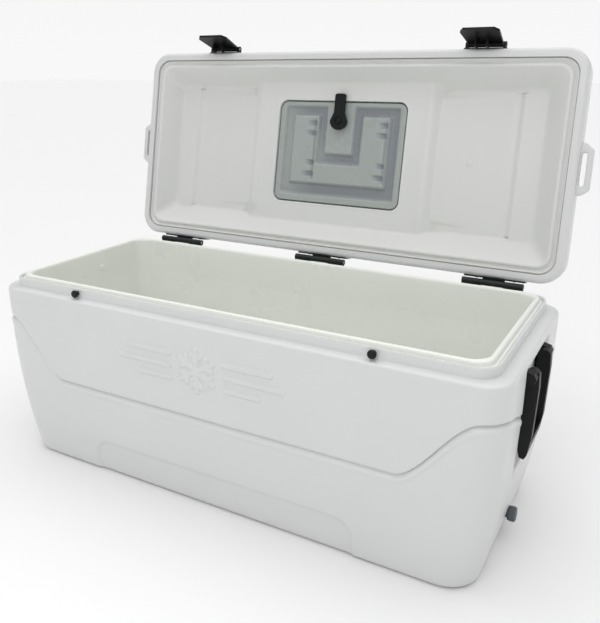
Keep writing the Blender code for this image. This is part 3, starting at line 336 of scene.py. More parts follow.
def add(tree, kind, inputs=None, **settings):
    """Add one node with its settings; an input is a value or another node's output."""
    node = tree.nodes.new(kind)
    for key, value in settings.items():
        setattr(node, key, value)
    for key, value in (inputs or {}).items():
        if isinstance(value, bpy.types.NodeSocket):
            tree.links.new(value, node.inputs[key])
        else:
            node.inputs[key].default_value = value
    return node


def new_material(name):
    """An empty node material with its output, shader and object coordinates."""
    mat = bpy.data.materials.new(name)
    mat.use_nodes = True
    tree = mat.node_tree
    tree.nodes.clear()
    out = tree.nodes.new("ShaderNodeOutputMaterial")
    shader = tree.nodes.new("ShaderNodeBsdfPrincipled")
    tree.links.new(shader.outputs["BSDF"], out.inputs["Surface"])
    where = tree.nodes.new("ShaderNodeTexCoord").outputs["Object"]
    return mat, tree, shader, where


def mottled(tree, where, colour, spread, scale, detail=4):
    """A colour that drifts a little lighter and darker over a pattern."""
    noise = add(tree, "ShaderNodeTexNoise", {"Vector": where, "Scale": scale, "Detail": detail,
                                             "Roughness": 0.6})
    ramp = add(tree, "ShaderNodeMapRange", {"Value": noise.outputs["Fac"], "From Min": 0.3,
                                            "From Max": 0.7, "To Min": 1 - spread,
                                            "To Max": 1 + spread * 0.5})
    mixed = add(tree, "ShaderNodeVectorMath", {0: tuple(colour)}, operation="SCALE")
    tree.links.new(ramp.outputs["Result"], mixed.inputs["Scale"])
    return mixed.outputs["Vector"]


def relief(tree, where, layers):
    """Bump from noise layers of (size in metres, depth in metres, strength)."""
    normal = None
    for size, depth, strength in layers:
        noise = add(tree, "ShaderNodeTexNoise", {"Vector": where, "Scale": 1 / size, "Detail": 3})
        inputs = {"Height": noise.outputs["Fac"], "Distance": depth, "Strength": strength}
        if normal is not None:
            inputs["Normal"] = normal
        normal = add(tree, "ShaderNodeBump", inputs).outputs["Normal"]
    return normal


def rough_drift(tree, where, low, high, scale):
    """Roughness that wanders between two values."""
    noise = add(tree, "ShaderNodeTexNoise", {"Vector": where, "Scale": scale, "Detail": 5})
    out = add(tree, "ShaderNodeMapRange", {"Value": noise.outputs["Fac"], "From Min": 0.3,
                                           "From Max": 0.7, "To Min": low, "To Max": high})
    return out.outputs["Result"]


def moulded(name, colour, spread, rough, layers, coat=0.0, gloss=0.5, shade=None):
    """A moulded plastic: drifting colour and gloss, and a skin of fine bumps."""
    mat, tree, shader, where = new_material(name)
    base = mottled(tree, where, colour, spread, 7, 2)
    if shade is not None:
        # painted shade: the channels and sunk pockets are darkened towards a bluer grey, more so
        # towards +x and the long edges
        amount = add(tree, "ShaderNodeAttribute", attribute_name="shade").outputs["Fac"]
        deep = add(tree, "ShaderNodeMix", {"Factor": amount}, data_type="RGBA")
        tree.links.new(base, deep.inputs[6])
        deep.inputs[7].default_value = (*shade, 1)
        base = deep.outputs[2]
    tree.links.new(base, shader.inputs["Base Color"])
    tree.links.new(rough_drift(tree, where, rough[0], rough[1], 12), shader.inputs["Roughness"])
    tree.links.new(relief(tree, where, layers), shader.inputs["Normal"])
    shader.inputs["IOR"].default_value = 1.5
    shader.inputs["Specular IOR Level"].default_value = gloss
    shader.inputs["Coat Weight"].default_value = coat
    shader.inputs["Coat Roughness"].default_value = 0.3
    return mat


def make_materials():
    """Every finish on the cooler, by its plain name."""
    c = colours()
    found = {
        # polyethylene, injection moulded with a fine leather grain: soft sheen, never mirror-like
        "shell": moulded("moulded_polyethylene_white", c.shell, 0.012, (0.30, 0.40),
                         ((0.0011, 0.00008, 0.25), (0.030, 0.0006, 0.10)), coat=0.35),
        # polypropylene liner, polished tool: smoother and a touch warmer, and painted lighter than
        # the lid's face as painted light in the tub's hollow
        "liner": moulded("polished_polypropylene_liner", c.liner, 0.008, (0.26, 0.36),
                         ((0.060, 0.0005, 0.05),)),
        # the same resin as the tub liner, painted a shade greyer on the lid's inner face as
        # painted shade
        "lid_liner": moulded("polished_polypropylene_lid", c.lid_liner, 0.008, (0.28, 0.38),
                             ((0.060, 0.0005, 0.05),)),
        # smoke-grey polycarbonate pan: glossy, a little cloudy
        "hatch": moulded("smoke_polycarbonate", c.hatch, 0.03, (0.24, 0.34),
                         ((0.030, 0.0004, 0.08),), coat=0.15, shade=c.hatch_channel_shade),
        # acetal and nylon fittings, spark-eroded texture: deep black, satin
        "black": moulded("textured_nylon_black", c.black, 0.25, (0.36, 0.50),
                         ((0.0009, 0.0001, 0.5), (0.012, 0.0003, 0.15)), gloss=0.28),
        "hinge": moulded("textured_nylon_hinge", c.hinge, 0.2, (0.38, 0.5),
                         ((0.0009, 0.0001, 0.5),), gloss=0.35),
        # glass-filled polypropylene of the drain: greyer and drier
        "slate": moulded("glass_filled_polypropylene", c.slate, 0.12, (0.5, 0.62),
                         ((0.0012, 0.0001, 0.4),)),
        # EPDM rubber: dark, dusty, very matt
        "rubber": moulded("epdm_rubber", linear("2A2D2E"), 0.2, (0.62, 0.8),
                          ((0.0014, 0.0002, 0.5),)),
        # foamed-in-place polyurethane: straw-coloured with open cells
        "foam": moulded("polyurethane_foam", linear("D9CB9E"), 0.12, (0.85, 0.95),
                        ((0.0022, 0.0008, 0.9), (0.010, 0.0015, 0.5))),
    }
    steel, tree, shader, where = new_material("brushed_stainless_steel")
    # long thin streaks along the length, as brushing leaves them
    stretched = add(tree, "ShaderNodeMapping", {"Vector": where, "Scale": (40, 900, 900)})
    streak = add(tree, "ShaderNodeTexNoise", {"Vector": stretched.outputs["Vector"], "Scale": 1.0,
                                              "Detail": 3})
    rough = add(tree, "ShaderNodeMapRange", {"Value": streak.outputs["Fac"], "To Min": 0.22,
                                             "To Max": 0.42})
    tree.links.new(rough.outputs["Result"], shader.inputs["Roughness"])
    tree.links.new(mottled(tree, where, linear("B9BBBD"), 0.06, 60), shader.inputs["Base Color"])
    shader.inputs["Metallic"].default_value = 1.0
    found["steel"] = steel
    return found


FINISH = {}


# ------------------------------------------------------------- the tub

def drawn_in(z):
    """Share of the taper at a height: (1 - z / shoulder) to the power 2.4."""
    return np.clip(1 - z / sizes().shoulder, 0, 1) ** 2.4


def wall_half(z):
    """Half length and half depth of the tub's outer wall at heights."""
    s = sizes()
    return s.half_x + s.over - s.end_taper * drawn_in(z), s.half_y - s.front_taper * drawn_in(z)


def waist_line(x, y):
    """Height of the waist: low in front, eased up to the corners, dipping on the ends."""
    s = sizes()
    rise = ease(np.abs(x), 0.68 * s.half_x, 0.93 * s.half_x)
    end = 1 - ease(np.abs(y), 0.2 * s.half_y, 0.86 * s.half_y)
    return (s.waist_low + (s.waist_high - s.waist_low) * rise
            - (s.waist_high - s.waist_end) * end)


def handle_dent(y, z):
    """Depth of the pocket behind each handle: eased flanks, foot and head."""
    across = 1 - ease(np.abs(y), *DENT_FLANK)
    return DENT_DEPTH * across * ease(z, *DENT_FOOT) * (1 - ease(z, *DENT_HEAD))


def sunk_panel(x, y, z):
    """Depth of the plain panel at the foot of the front: a round-cornered mask."""
    s = sizes()
    dx = np.maximum(np.abs(x) - (s.panel_half - PANEL_CORNER), 0)
    dz = np.maximum(z - (s.panel_top - PANEL_CORNER), 0)
    away = np.hypot(dx, dz) - PANEL_CORNER
    mask = (y < 0) * (z < s.panel_top + 10 * MM)
    return PANEL_DEPTH * (1 - ease(away, -3 * MM, 2.5 * MM)) * mask


def wall_ring(z, inset, radius, marks):
    """Rings of the outer wall; z is one height a point, in rings by points."""
    mean = z.mean(1)
    half_x, half_y = wall_half(mean)
    flat = rounded(half_x, half_y, radius, marks)
    wall_x, wall_y = wall_half(z)
    inset = np.asarray(inset, float)
    inset = inset[:, None] if inset.ndim == 1 else inset
    x = flat[..., 0] * (wall_x - inset) / half_x[:, None]
    y = flat[..., 1] * (wall_y - inset) / half_y[:, None]
    x = x - np.sign(x) * handle_dent(y, z)
    front = np.abs(flat[..., 1]) > (half_y[:, None] - 8 * MM)
    y = y - np.sign(y) * sunk_panel(x, y, z) * front
    return np.stack([x, y, z], -1)


def build_tub():
    """Outer tub: rounded-rectangle rings up the wall, over the shoulder and down inside.

    Between foot and shoulder the rings follow the waist line, so the groove and its
    ledge are a run of rings at set distances above and below that line.
    """
    s = sizes()
    marks = stations(250, 96, 16)
    base = rounded(*[np.array([v]) for v in wall_half(0.2)], 56 * MM, marks)[0]
    line = waist_line(base[:, 0], base[:, 1])
    # each pair below is a height and how far the wall is set in there, in millimetres
    foot = ((0, 60), (0, 12), (0.2, 8), (1.2, 5), (3, 2.8), (6, 1.1), (11, 0.3), (18, 0))
    above_foot, above_groove, under_head = 18 * MM, 14 * MM, 347 * MM
    rows = [np.full_like(line, z * MM) for z, _ in foot]
    insets = [i * MM for _, i in foot]
    for t in np.linspace(0, 1, 38)[1:]:
        rows.append(above_foot + t * (line - above_groove - above_foot))
        insets.append(0)
    groove = ((-12, -0.3), (-8, -0.9), (-5, -1.2), (-2.5, -0.9), (-0.8, -0.1), (0.8, 1.3),
              (2.4, 3), (3.6, 4.4), (4.6, 5), (5.4, 5), (6.2, 4.4), (6.8, 3), (7.4, 1.4),
              (8.2, 0.5), (10, 0.1), (14, 0))
    for dz, inset in groove:
        rows.append(line + dz * MM)
        insets.append(inset * MM)
    for t in np.linspace(0, 1, 14)[1:]:
        rows.append(line + above_groove + t * (under_head - line - above_groove))
        insets.append(0)
    head = ((349, 0), (350.5, 0), (352, 0), (353.5, 0), (355, 0), (359, 0), (363, 0), (365.6, 0.5),
            (367.4, 1.5), (368.6, 3.2), (369, 5.2))
    for z, inset in head:
        rows.append(np.full_like(line, z * MM))
        insets.append(inset * MM)
    z = np.stack(rows)
    mean = z.mean(1)
    radius = 46 * MM + 10 * MM * (1 - np.clip(mean / s.shoulder, 0, 1))
    radius[:1] = 30 * MM
    outside = wall_ring(z, insets, radius, marks)

    # the band under the lip, as set-in, height and corner radius
    band = ((15, 370.2, 40), (16.4, 371, 38), (17, 373, 36), (17, 384, 34), (17.2, 386.6, 34),
            (18, 388.2, 33), (20.5, 388.2, 32), (22, 386, 31), (23, 360, 31))
    i, h, r = columns(band)
    over = with_height(rounded(s.half_x - i, s.half_y - i, r, marks), h)
    inside = ((349, 7), (172, 7), (160, 7), (105, 7), (50, 7), (20, 8), (9, 15), (6.5, 25),
              (6.5, 60))
    zi = np.stack([np.full_like(line, v * MM) for v, _ in inside])
    inner = wall_ring(zi, [v * MM for _, v in inside], 40 * MM, marks)
    obj = surface("tub_outer", np.concatenate([outside, over, inner]), material=FINISH["shell"])
    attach(obj, "tub")
    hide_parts("body_shell")


def ridge(x, z, strokes, radius, soft):
    """1 on round-ended strokes between pairs of points, eased to 0 past their edges."""
    nearest = np.full_like(x, 1.0)
    for x0, z0, x1, z1 in strokes:
        dx, dz = x1 - x0, z1 - z0
        t = np.clip(((x - x0) * dx + (z - z0) * dz) / (dx * dx + dz * dz), 0, 1)
        nearest = np.minimum(nearest, np.hypot(x - x0 - t * dx, z - z0 - t * dz))
    return 1 - ease(nearest, radius - soft, radius + soft)


def motif_strokes():
    """Strokes of the raised emblem: a six-armed snow crystal with three bars on either side."""
    strokes = []
    for k in range(6):
        a = math.radians(90 + 60 * k)
        c, n = math.cos(a), math.sin(a)
        strokes.append((0.0, 0.0, 40 * MM * c, 40 * MM * n))
        for turn in (-50, 50):
            b = a + math.radians(turn)
            strokes.append((22 * MM * c, 22 * MM * n, 22 * MM * c + 14 * MM * math.cos(b),
                            22 * MM * n + 14 * MM * math.sin(b)))
    for sign in (-1, 1):
        for row, reach in ((-1, 128), (0, 176), (1, 152)):
            strokes.append((sign * 60 * MM, row * 24 * MM, sign * reach * MM, row * 24 * MM))
    return strokes


def sheet_box(front, back):
    """Points and quads of a closed slab between two grids of points."""
    rows, count_x, _ = front.shape
    count = rows * count_x
    quads = grid_faces(rows, count_x, False, False)
    k = np.arange(count).reshape(rows, count_x)
    rim = np.concatenate([k[0, :-1], k[:-1, -1], k[-1, :0:-1], k[:0:-1, 0]])
    after = np.roll(rim, -1)
    wall = np.stack([after, rim, rim + count, after + count], -1)
    faces = np.concatenate([quads, quads[:, ::-1] + count, wall])
    points = np.concatenate([front.reshape(-1, 3), back.reshape(-1, 3)])
    if signed_volume(points, faces) < 0:
        faces = faces[:, ::-1]
    return points, faces


def build_motif():
    """Raised emblem on the front: the wall's depth less a height field of strokes.

    Its ground lies just inside the wall, and a back sheet deeper in the wall closes it.
    """
    centre_x, centre_z = EMBLEM_AT
    half_x, half_z = EMBLEM_HALF
    x, z = np.meshgrid(np.linspace(-half_x, half_x, 300), np.linspace(-half_z, half_z, 76))
    rise = ridge(x, z, motif_strokes(), STROKE_HALF, STROKE_SOFT)
    edge = np.maximum(np.abs(x) / half_x, np.abs(z) / half_z) > 0.985
    wall = -wall_half(z + centre_z)[1]
    depth = np.where(edge, 2.0 * MM, 0.35 * MM) - STROKE_RISE * rise
    front = np.stack([x + centre_x, wall + depth, z + centre_z], -1)
    back = front.copy()
    back[..., 1] = wall + 3.5 * MM
    points, faces = sheet_box(front, back)
    obj = piece("tub_emblem", points, faces, NO_FANS, FINISH["shell"], 60)
    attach(obj, "tub")


def liner_in(z):
    """How far the liner's inner wall is set in from the lid's outline at heights."""
    return LIP_IN + LINER_TAPER * (1 - z / sizes().rim)


def build_tub_liner():
    """Inner tub: the lip's round bead, tapering walls, a filleted floor and the wall's back."""
    s = sizes()
    marks = stations(200, 80, 14)
    # the bead of the lip, as set-out from the wall, height over the rim and corner radius
    bead = ((-13.5, -8, 31), (-13.4, -5, 31), (-10.2, -4.6, 30), (-9.4, -3, 30), (-9.2, 0, 30),
            (-8.7, 2.4, 30.5), (-7.6, 4, 31), (-6, 4.9, 31), (-4.6, 5, 31.5), (-3.2, 4.8, 32),
            (-1.9, 4.1, 32.5), (-0.9, 2.9, 33), (-0.2, 1.2, 33.5), (0, -2, 34))
    di, dz, r = columns(bead)
    flat = rounded(s.half_x - LIP_IN - di, s.half_y - LIP_IN - di, r, marks)
    rings = [with_height(flat, s.rim + dz)]
    # straight wall from under the bead down to the fillet
    top, foot = s.rim - 2 * MM, LINER_FLOOR + LINER_FILLET
    z = top - np.linspace(0, 1, 16)[1:] * (top - foot)
    inset = liner_in(z)
    flat = rounded(s.half_x - inset, s.half_y - inset, LINER_CORNER, marks)
    rings.append(with_height(flat, z))
    # quarter-round fillet down to the floor
    turn = np.linspace(0, math.pi / 2, 10)[1:]
    inset = inset[-1] + LINER_FILLET * (1 - np.cos(turn))
    radius = LINER_CORNER - 14 * MM * (1 - np.cos(turn))
    flat = rounded(s.half_x - inset, s.half_y - inset, radius, marks)
    rings.append(with_height(flat, LINER_FLOOR + LINER_FILLET * (1 - np.sin(turn))))
    inner_count = sum(len(part) for part in rings)
    # the wall's back, as set-in and height
    under = ((70, 20), (49, 21), (45, 28), (45, 200), (41, 300), (33, 380.5), (23.5, 381))
    i, h = columns(under)
    rings.append(with_height(rounded(s.half_x - i, s.half_y - i, 30 * MM, marks), h))
    rings = np.concatenate(rings)
    rings = np.concatenate([rings[inner_count:], rings[:inner_count]])
    obj = surface("tub_liner", rings, material=FINISH["liner"])
    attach(obj, "tub")
    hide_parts("body_liner")


def build_liner_marks():
    """Two small pads on the liner's left end wall, each closed by a sheet inside the wall.

    A pad's height is the product of eased flanks along its width and its height.
    """
    s = sizes()
    u, v = np.meshgrid(np.linspace(-1, 1, 25), np.linspace(-1, 1, 25))
    pillow = (1 - ease(np.abs(u), 0.55, 0.95)) * (1 - ease(np.abs(v), 0.55, 0.95))
    for name, y, z, half_w, half_h in (("front", -62, 334, 5, 11), ("back", 40, 352, 9, 7)):
        high = (z + half_h * v) * MM
        wall = liner_in(high) - s.half_x
        top = np.stack([wall - 1.0 * MM + 3.4 * MM * pillow, (y + half_w * u) * MM, high], -1)
        low = top.copy()
        low[..., 0] = wall - 2.4 * MM
        points, faces = sheet_box(top, low)
        obj = piece("liner_mark_" + name, points, faces, NO_FANS, FINISH["liner"], 60)
        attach(obj, "tub")


# ------------------------------------------------------------- the lid

def lid_rings(insets, heights, radii, marks):
    """Rings set in from the lid's outline at heights above the rim."""
    s = sizes()
    flat = rounded(s.half_x - insets, s.half_y - insets, radii, marks)
    return with_height(flat, s.rim + heights)


def hatch_rings(half_x, half_y, heights, radii, marks):
    """Rings round the hatch at heights above the rim."""
    flat = rounded(half_x, half_y, radii, marks, HATCH_SHIFT)
    return with_height(flat, sizes().rim + heights)


def build_lid_shell():
    """Outer lid: rings from the skirt up the side, over the crown and into the hatch's pocket."""
    marks = stations(150, 70, 16)
    # set-in, height over the rim and corner radius
    side = ((17.5, 0.4, 32), (12, 0.1, 36), (8, 0, 39), (5, 0.5, 42), (2.6, 2, 44), (1, 4.6, 45.4),
            (0.2, 7.6, 46), (0, 11, 46), (0.3, 28, 46), (0.9, 44, 46), (2, 54, 46), (4, 62.5, 46),
            (7, 70, 46), (11, 76.4, 46), (16, 81, 46), (22, 84.2, 46), (30, 86.4, 46),
            (40, 87.5, 46), (50, 88, 46))
    i, h, r = columns(side)
    skin = [lid_rings(i, h, r, marks)]
    # half length, half depth, height over the rim and corner radius
    pocket = ((178, 150, 88, 27), (175.6, 147.6, 87.6, 25.6), (174.4, 146.4, 86.6, 24.6),
              (174, 146, 85, 24), (174, 146, 67, 24), (173.2, 145.2, 65, 23), (171, 143, 64, 22),
              (160.5, 121.5, 64, 22), (160.5, 121.5, 59.5, 22), (178.5, 150.5, 59.5, 26),
              (179.5, 151.5, 83.5, 28))
    hx, hy, h, r = columns(pocket)
    skin.append(hatch_rings(hx, hy, h, r, marks))
    back = ((50, 83.5, 44), (33, 82.1, 43), (22, 78.5, 42), (9, 62, 42), (5.3, 44, 42),
            (4.5, 12, 42), (17.5, 8, 32))
    i, h, r = columns(back)
    skin.append(lid_rings(i, h, r, marks))
    obj = surface("lid_outer", opened(np.concatenate(skin)), True, FINISH["shell"])
    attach(obj, "lid")
    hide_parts("lid_shell")
    for sign, side_name in ((-1, "left"), (1, "right")):
        build_tab(sign, side_name)


def build_tab(sign, side_name):
    """Tie-down tab: a rounded band carried between the slot's outline and the tab's outline."""
    s = sizes()
    count = 96
    angle = np.linspace(0, 2 * math.pi, count, endpoint=False)
    slot_x = s.half_x + 6.8 * MM
    c, n = np.cos(angle), np.sin(angle)
    slot_y = np.clip(n * 80 * MM, -28 * MM, 28 * MM) + 4 * MM * n
    inner = np.stack([slot_x + 5.3 * MM * c, slot_y], -1)
    outer_y = np.sign(n) * np.minimum(np.abs(n) * 70 * MM, 50 * MM)
    reach = 22 * MM * (1 - ease(np.abs(outer_y), 36 * MM, 54 * MM) * 0.75)
    outer_x = np.where(c > 0, reach * np.minimum(1, c * 3), 3 * MM * np.maximum(-1, c * 3))
    outer = np.stack([s.half_x + outer_x, outer_y], -1)
    low, high = 12 * MM, 32 * MM
    profile = ((0.0, low + 1.5 * MM), (0.03, low + 0.4 * MM), (0.10, low), (0.90, low),
               (0.97, low + 0.5 * MM), (1.0, low + 2 * MM), (1.0, high - 2 * MM),
               (0.97, high - 0.5 * MM), (0.9, high), (0.1, high), (0.03, high - 0.4 * MM),
               (0.0, high - 1.5 * MM))
    rings = np.stack([np.concatenate([inner * (1 - t) + outer * t,
                                      np.full((count, 1), s.rim + h)], -1) for t, h in profile])
    rings[..., 0] *= sign
    obj = surface("tie_down_tab_" + side_name, opened(rings), True, FINISH["shell"], 50)
    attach(obj, "lid")


def liner_floor(x, y):
    """Height of the recess floor: end bays, a raised field and the raised middle panel.

    Each step is an eased rise along the length; beads beside the steps are bell curves,
    and two round gate marks stand on the field.
    """
    s = sizes()
    bay = 4.5 * MM * ease(np.abs(x), 386 * MM, 394 * MM)
    edge = -1.0 * MM * np.exp(-((np.abs(x) - 382 * MM) / (6 * MM)) ** 2)
    middle = s.mid_rise * (1 - ease(np.abs(x), 207 * MM, 236 * MM))
    lip = 1.0 * MM * np.exp(-((np.abs(x) - 202 * MM) / (6 * MM)) ** 2)
    gate = 2.2 * MM * (1 - ease(np.hypot(np.abs(x) - 296 * MM, y), 6 * MM, 10 * MM))
    return s.recess - bay - edge - middle - lip - gate


def build_lid_liner():
    """Inner face of the lid: flange, bead, sloped sides, panelled floor, the hatch's collar."""
    s = sizes()
    marks = stations(150, 70, 12)
    # set-in, height over the rim and corner radius
    flange = ((18.5, 8.7, 31), (18.5, 6.3, 31), (19.3, 5.3, 30.4), (20.4, 4.9, 30),
              (21.6, 5.1, 29), (22.6, 6.4, 28.6), (24, 8.6, 28), (25, 9.2, 27.5), (26.4, 9.2, 27),
              (27.6, 8, 26.5), (28.8, 5.8, 26), (30, 4.7, 25), (31.6, 4.3, 24.5), (33.4, 4.5, 24),
              (35.2, 5.4, 23), (37, 7.2, 23))
    i, h, r = columns(flange)
    rings = [lid_rings(i, h, r, marks)]
    t = np.linspace(0, 1, 22)
    inset = 38 * MM + 42 * MM * t
    radius = 23 * MM - 3 * MM * t
    flat = rounded(s.half_x - inset, s.half_y - inset, radius, marks)
    slope = 8.4 * MM + (s.recess - 8.4 * MM) * np.clip((inset - 38 * MM) / (38 * MM), 0, 1.2)
    floor = liner_floor(flat[..., 0], flat[..., 1])
    z = soft_least(np.broadcast_to(slope[:, None], floor.shape), floor, 5 * MM)
    rings.append(with_height(flat, s.rim + z))
    t = np.linspace(0, 1, 112)[1:]
    hx = (s.half_x - 80 * MM) * (1 - t) + (s.hatch_x + 5 * MM) * t
    hy = (s.half_y - 80 * MM) * (1 - t) + (s.hatch_y + 5 * MM) * t
    flat = rounded(hx, hy, 20 * MM, marks, HATCH_SHIFT * t)
    rings.append(with_height(flat, s.rim + liner_floor(flat[..., 0], flat[..., 1])))
    mid = (s.recess - s.mid_rise) / MM
    collar = ((3, 3, -0.7, 21), (1.8, 1.8, -0.7, 21), (0.8, 0.8, -0.2, 20.6), (0.2, 0.2, 1, 20.2),
              (0, 0, 3, 20), (0, 0, 64 - mid, 20), (4, 4, 64 - mid, 22), (4, 4, 5, 22))
    dx, dy, dz, r = columns(collar)
    rings.append(hatch_rings(s.hatch_x + dx, s.hatch_y + dy, mid * MM + dz, r, marks))
    rear = ((70, 53.5, 20), (60, 50, 22), (40, 14, 25), (18.5, 8.9, 31))
    back_x, back_y = s.half_x - 90 * MM, s.half_y - 82 * MM
    rings.append(with_height(rounded(back_x, back_y, 20 * MM, marks), np.array([s.rim + 54 * MM])))
    i, h, r = columns(rear)
    rings.append(lid_rings(i, h, r, marks))
    obj = surface("lid_liner_face", opened(np.concatenate(rings)), True, FINISH["lid_liner"])
    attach(obj, "lid")
    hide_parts("lid_liner")


# ------------------------------------------------------------- the hatch

def block(x, y, x0, x1, y0, y1, soft=2.6 * MM):
    """A flat-topped block over a rectangle, 1 inside and eased to 0 past its edges."""
    return (ease(x, x0 - soft, x0 + soft) * (1 - ease(x, x1 - soft, x1 + soft))
            * ease(y, y0 - soft, y0 + soft) * (1 - ease(y, y1 - soft, y1 + soft)))


def pan_relief(x, y):
    """Relief of the hatch pan and its painted shade, from soft blocks.

    A frame and a middle field stand 8 mm proud of a moat, a tongue runs down from the
    top inside a U of the same moat, and notched pockets are sunk into the field.
    """
    m = MM
    soft = 4.5 * m
    frame_part = 1 - block(x, y, -138 * m, 138 * m, -103 * m, 97 * m, soft)
    field = block(x, y, -118 * m, 118 * m, -85 * m, 72 * m, soft)
    field = field * (1 - block(x, y, -52 * m, 52 * m, -120 * m, 24 * m, soft))
    tongue = block(x, y, -35 * m, 35 * m, -130 * m, 3 * m, soft)
    height = np.maximum(np.maximum(frame_part, field), tongue)
    # painted shade: the moat is darkened, more towards +x and the long sides, and the sunk pockets
    # most
    shade = (1 - height) * (0.15 + 0.6 * ease(x + 0.8 * np.abs(y), -90 * m, 20 * m))
    sunk = np.zeros_like(x)
    for right in (-58 * m, 114 * m):
        wall = block(x, y, right - 5 * m, right, -76 * m, 62 * m, 2 * m)
        sunk = np.maximum(sunk, 0.55 * wall)
        for row, reach in ((-66, 30), (-43, 34), (24, 28), (50, 38)):
            slope = ease(x, right - reach * m, right - 4 * m)
            notch = slope * block(x, y, right - reach * m, right, (row - 6) * m, (row + 6) * m,
                                  2.5 * m)
            sunk = np.maximum(sunk, notch)
    ring = np.exp(-((np.hypot(x, y + 24 * m) - 8.5 * m) / (1.8 * m)) ** 2)
    return 8 * m * height - 4.5 * m * sunk + 1.5 * m * ring, np.maximum(shade, sunk)


def build_hatch():
    """Hatch pan, cover and gasket, each a run of rounded-rectangle rings."""
    s = sizes()
    marks = stations(150, 110, 14)
    gap = 2.5 * MM
    half_x, half_y = s.hatch_x - gap, s.hatch_y - gap
    mid = s.recess - s.mid_rise
    t = np.linspace(0.012, 1, 64)
    radius = np.minimum(16 * MM * t ** 3, half_y * t * 0.9)
    flat = rounded((half_x - 2 * MM) * t, (half_y - 2 * MM) * t, radius, marks)
    relief_height, shade = pan_relief(flat[..., 0], flat[..., 1])
    z = mid + 11 * MM - relief_height
    flat[..., 1] += HATCH_SHIFT
    rings = [with_height(flat, s.rim + z)]
    edge = ((-1.2, 3.3, 17), (-0.4, 4, 17.6), (0, 5.2, 18), (0, 17, 18), (-8, 17, 12))
    d, h, r = columns(edge)
    rings.append(hatch_rings(half_x + d, half_y + d, mid + h, r, marks))
    obj = surface("hatch_pan", opened(np.concatenate(rings)), False, FINISH["hatch"])
    values = np.zeros(len(obj.data.vertices), np.float32)
    values[:shade.size] = shade.ravel()
    obj.data.attributes.new("shade", "FLOAT", "POINT").data.foreach_set("value", values)
    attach(obj, "hatch")
    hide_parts("hatch_liner")

    marks = stations(70, 50, 12)
    cover = ((144, 105, 79, 12), (147, 108, 55.6, 15), (154, 115, 55.6, 18), (154, 115, 67.6, 18),
             (164.4, 125.4, 67.6, 22), (165, 126, 68.4, 22), (165, 126, 80.2, 22),
             (164.6, 125.6, 81.8, 21.6), (163.4, 124.4, 83.2, 21), (161.4, 122.4, 84, 20),
             (150, 111, 84, 18), (147, 108, 83.2, 17), (145, 106, 82, 16), (142, 103, 81.4, 15),
             (40, 30, 81.6, 8))
    hx, hy, h, r = columns(cover)
    obj = surface("hatch_top", opened(hatch_rings(hx, hy, h, r, marks)), False, FINISH["shell"])
    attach(obj, "hatch")
    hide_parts("hatch_cover")

    seal = ((156.5, 117.5, 64.6, 20), (156.7, 117.7, 66.2, 20), (158, 119, 67.2, 21),
            (161, 122, 67.2, 22), (163, 124, 66.4, 22), (163.5, 124.5, 65.2, 22),
            (162, 123, 64.4, 22), (158, 119, 64.4, 21))
    hx, hy, h, r = columns(seal)
    obj = surface("hatch_seal", opened(hatch_rings(hx, hy, h, r, marks)), True, FINISH["rubber"])
    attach(obj, "hatch")
    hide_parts("hatch_gasket")


# ------------------------------------------------------------- operators

class CoolerPiece:
    """What every operator here shares."""

    bl_options = {"REGISTER", "UNDO"}


class COOLER_OT_stage(CoolerPiece, bpy.types.Operator):
    """Make the pale floor, the soft lights and the camera"""

    bl_idname = "cooler.stage"
    bl_label = "Studio"

    def execute(self, context):
        build_stage()
        return {"FINISHED"}


class COOLER_OT_finishes(CoolerPiece, bpy.types.Operator):
    """Make the finishes and put them on the frame's own pieces"""

    bl_idname = "cooler.finishes"
    bl_label = "Finishes"

    def execute(self, context):
        FINISH.update(make_materials())
        dress_frame()
        return {"FINISHED"}


class COOLER_OT_tub(CoolerPiece, bpy.types.Operator):
    """Make the outer tub and its liner"""

    bl_idname = "cooler.tub"
    bl_label = "Tub"

    def execute(self, context):
        build_tub()
        build_motif()
        build_tub_liner()
        build_liner_marks()
        return {"FINISHED"}


class COOLER_OT_lid(CoolerPiece, bpy.types.Operator):
    """Make the outer lid, its tie-down tabs and its inner face"""

    bl_idname = "cooler.lid"
    bl_label = "Lid"

    def execute(self, context):
        build_lid_shell()
        build_lid_liner()
        return {"FINISHED"}


class COOLER_OT_hatch(CoolerPiece, bpy.types.Operator):
    """Make the hatch's pan, cover and seal"""

    bl_idname = "cooler.hatch"
    bl_label = "Hatch"

    def execute(self, context):
        build_hatch()
        return {"FINISHED"}


class COOLER_OT_fittings(CoolerPiece, bpy.types.Operator):
    """Round the corners of hinges, latches, handles, lever, knob and drain"""

    bl_idname = "cooler.fittings"
    bl_label = "Fittings"

    def execute(self, context):
        build_fittings()
        return {"FINISHED"}


class COOLER_PT_panel(bpy.types.Panel):
    """Sizes, colours and building steps of the cooler"""

    bl_label = "Chest Cooler"
    bl_idname = "COOLER_PT_panel"
    bl_space_type = "VIEW_3D"
    bl_region_type = "UI"
    bl_category = "Cooler"

    def draw(self, context):
        for group in (context.scene.cooler_sizes, context.scene.cooler_colours):
            for key in group.__annotations__:
                self.layout.prop(group, key)
        for operator in STEPS:
            self.layout.operator(operator.bl_idname)


def dress_frame():
    """Give each of the frame's own nodes the finish of its kind."""
    by_slot = {"white_plastic": "shell", "liner_plastic": "liner", "foam": "foam",
               "smoke_plastic": "hatch", "gasket_rubber": "rubber", "seal_rubber": "rubber",
               "slate_plastic": "slate", "black_plastic": "black", "steel": "steel"}
    for row in frame["record"]["subparts"]:
        finish = by_slot[row["material_slot"]]
        if row["node"].startswith("hinge_") and finish == "black":
            finish = "hinge"
        obj = NODES[row["node"]]
        obj.data.materials.clear()
        obj.data.materials.append(FINISH[finish])


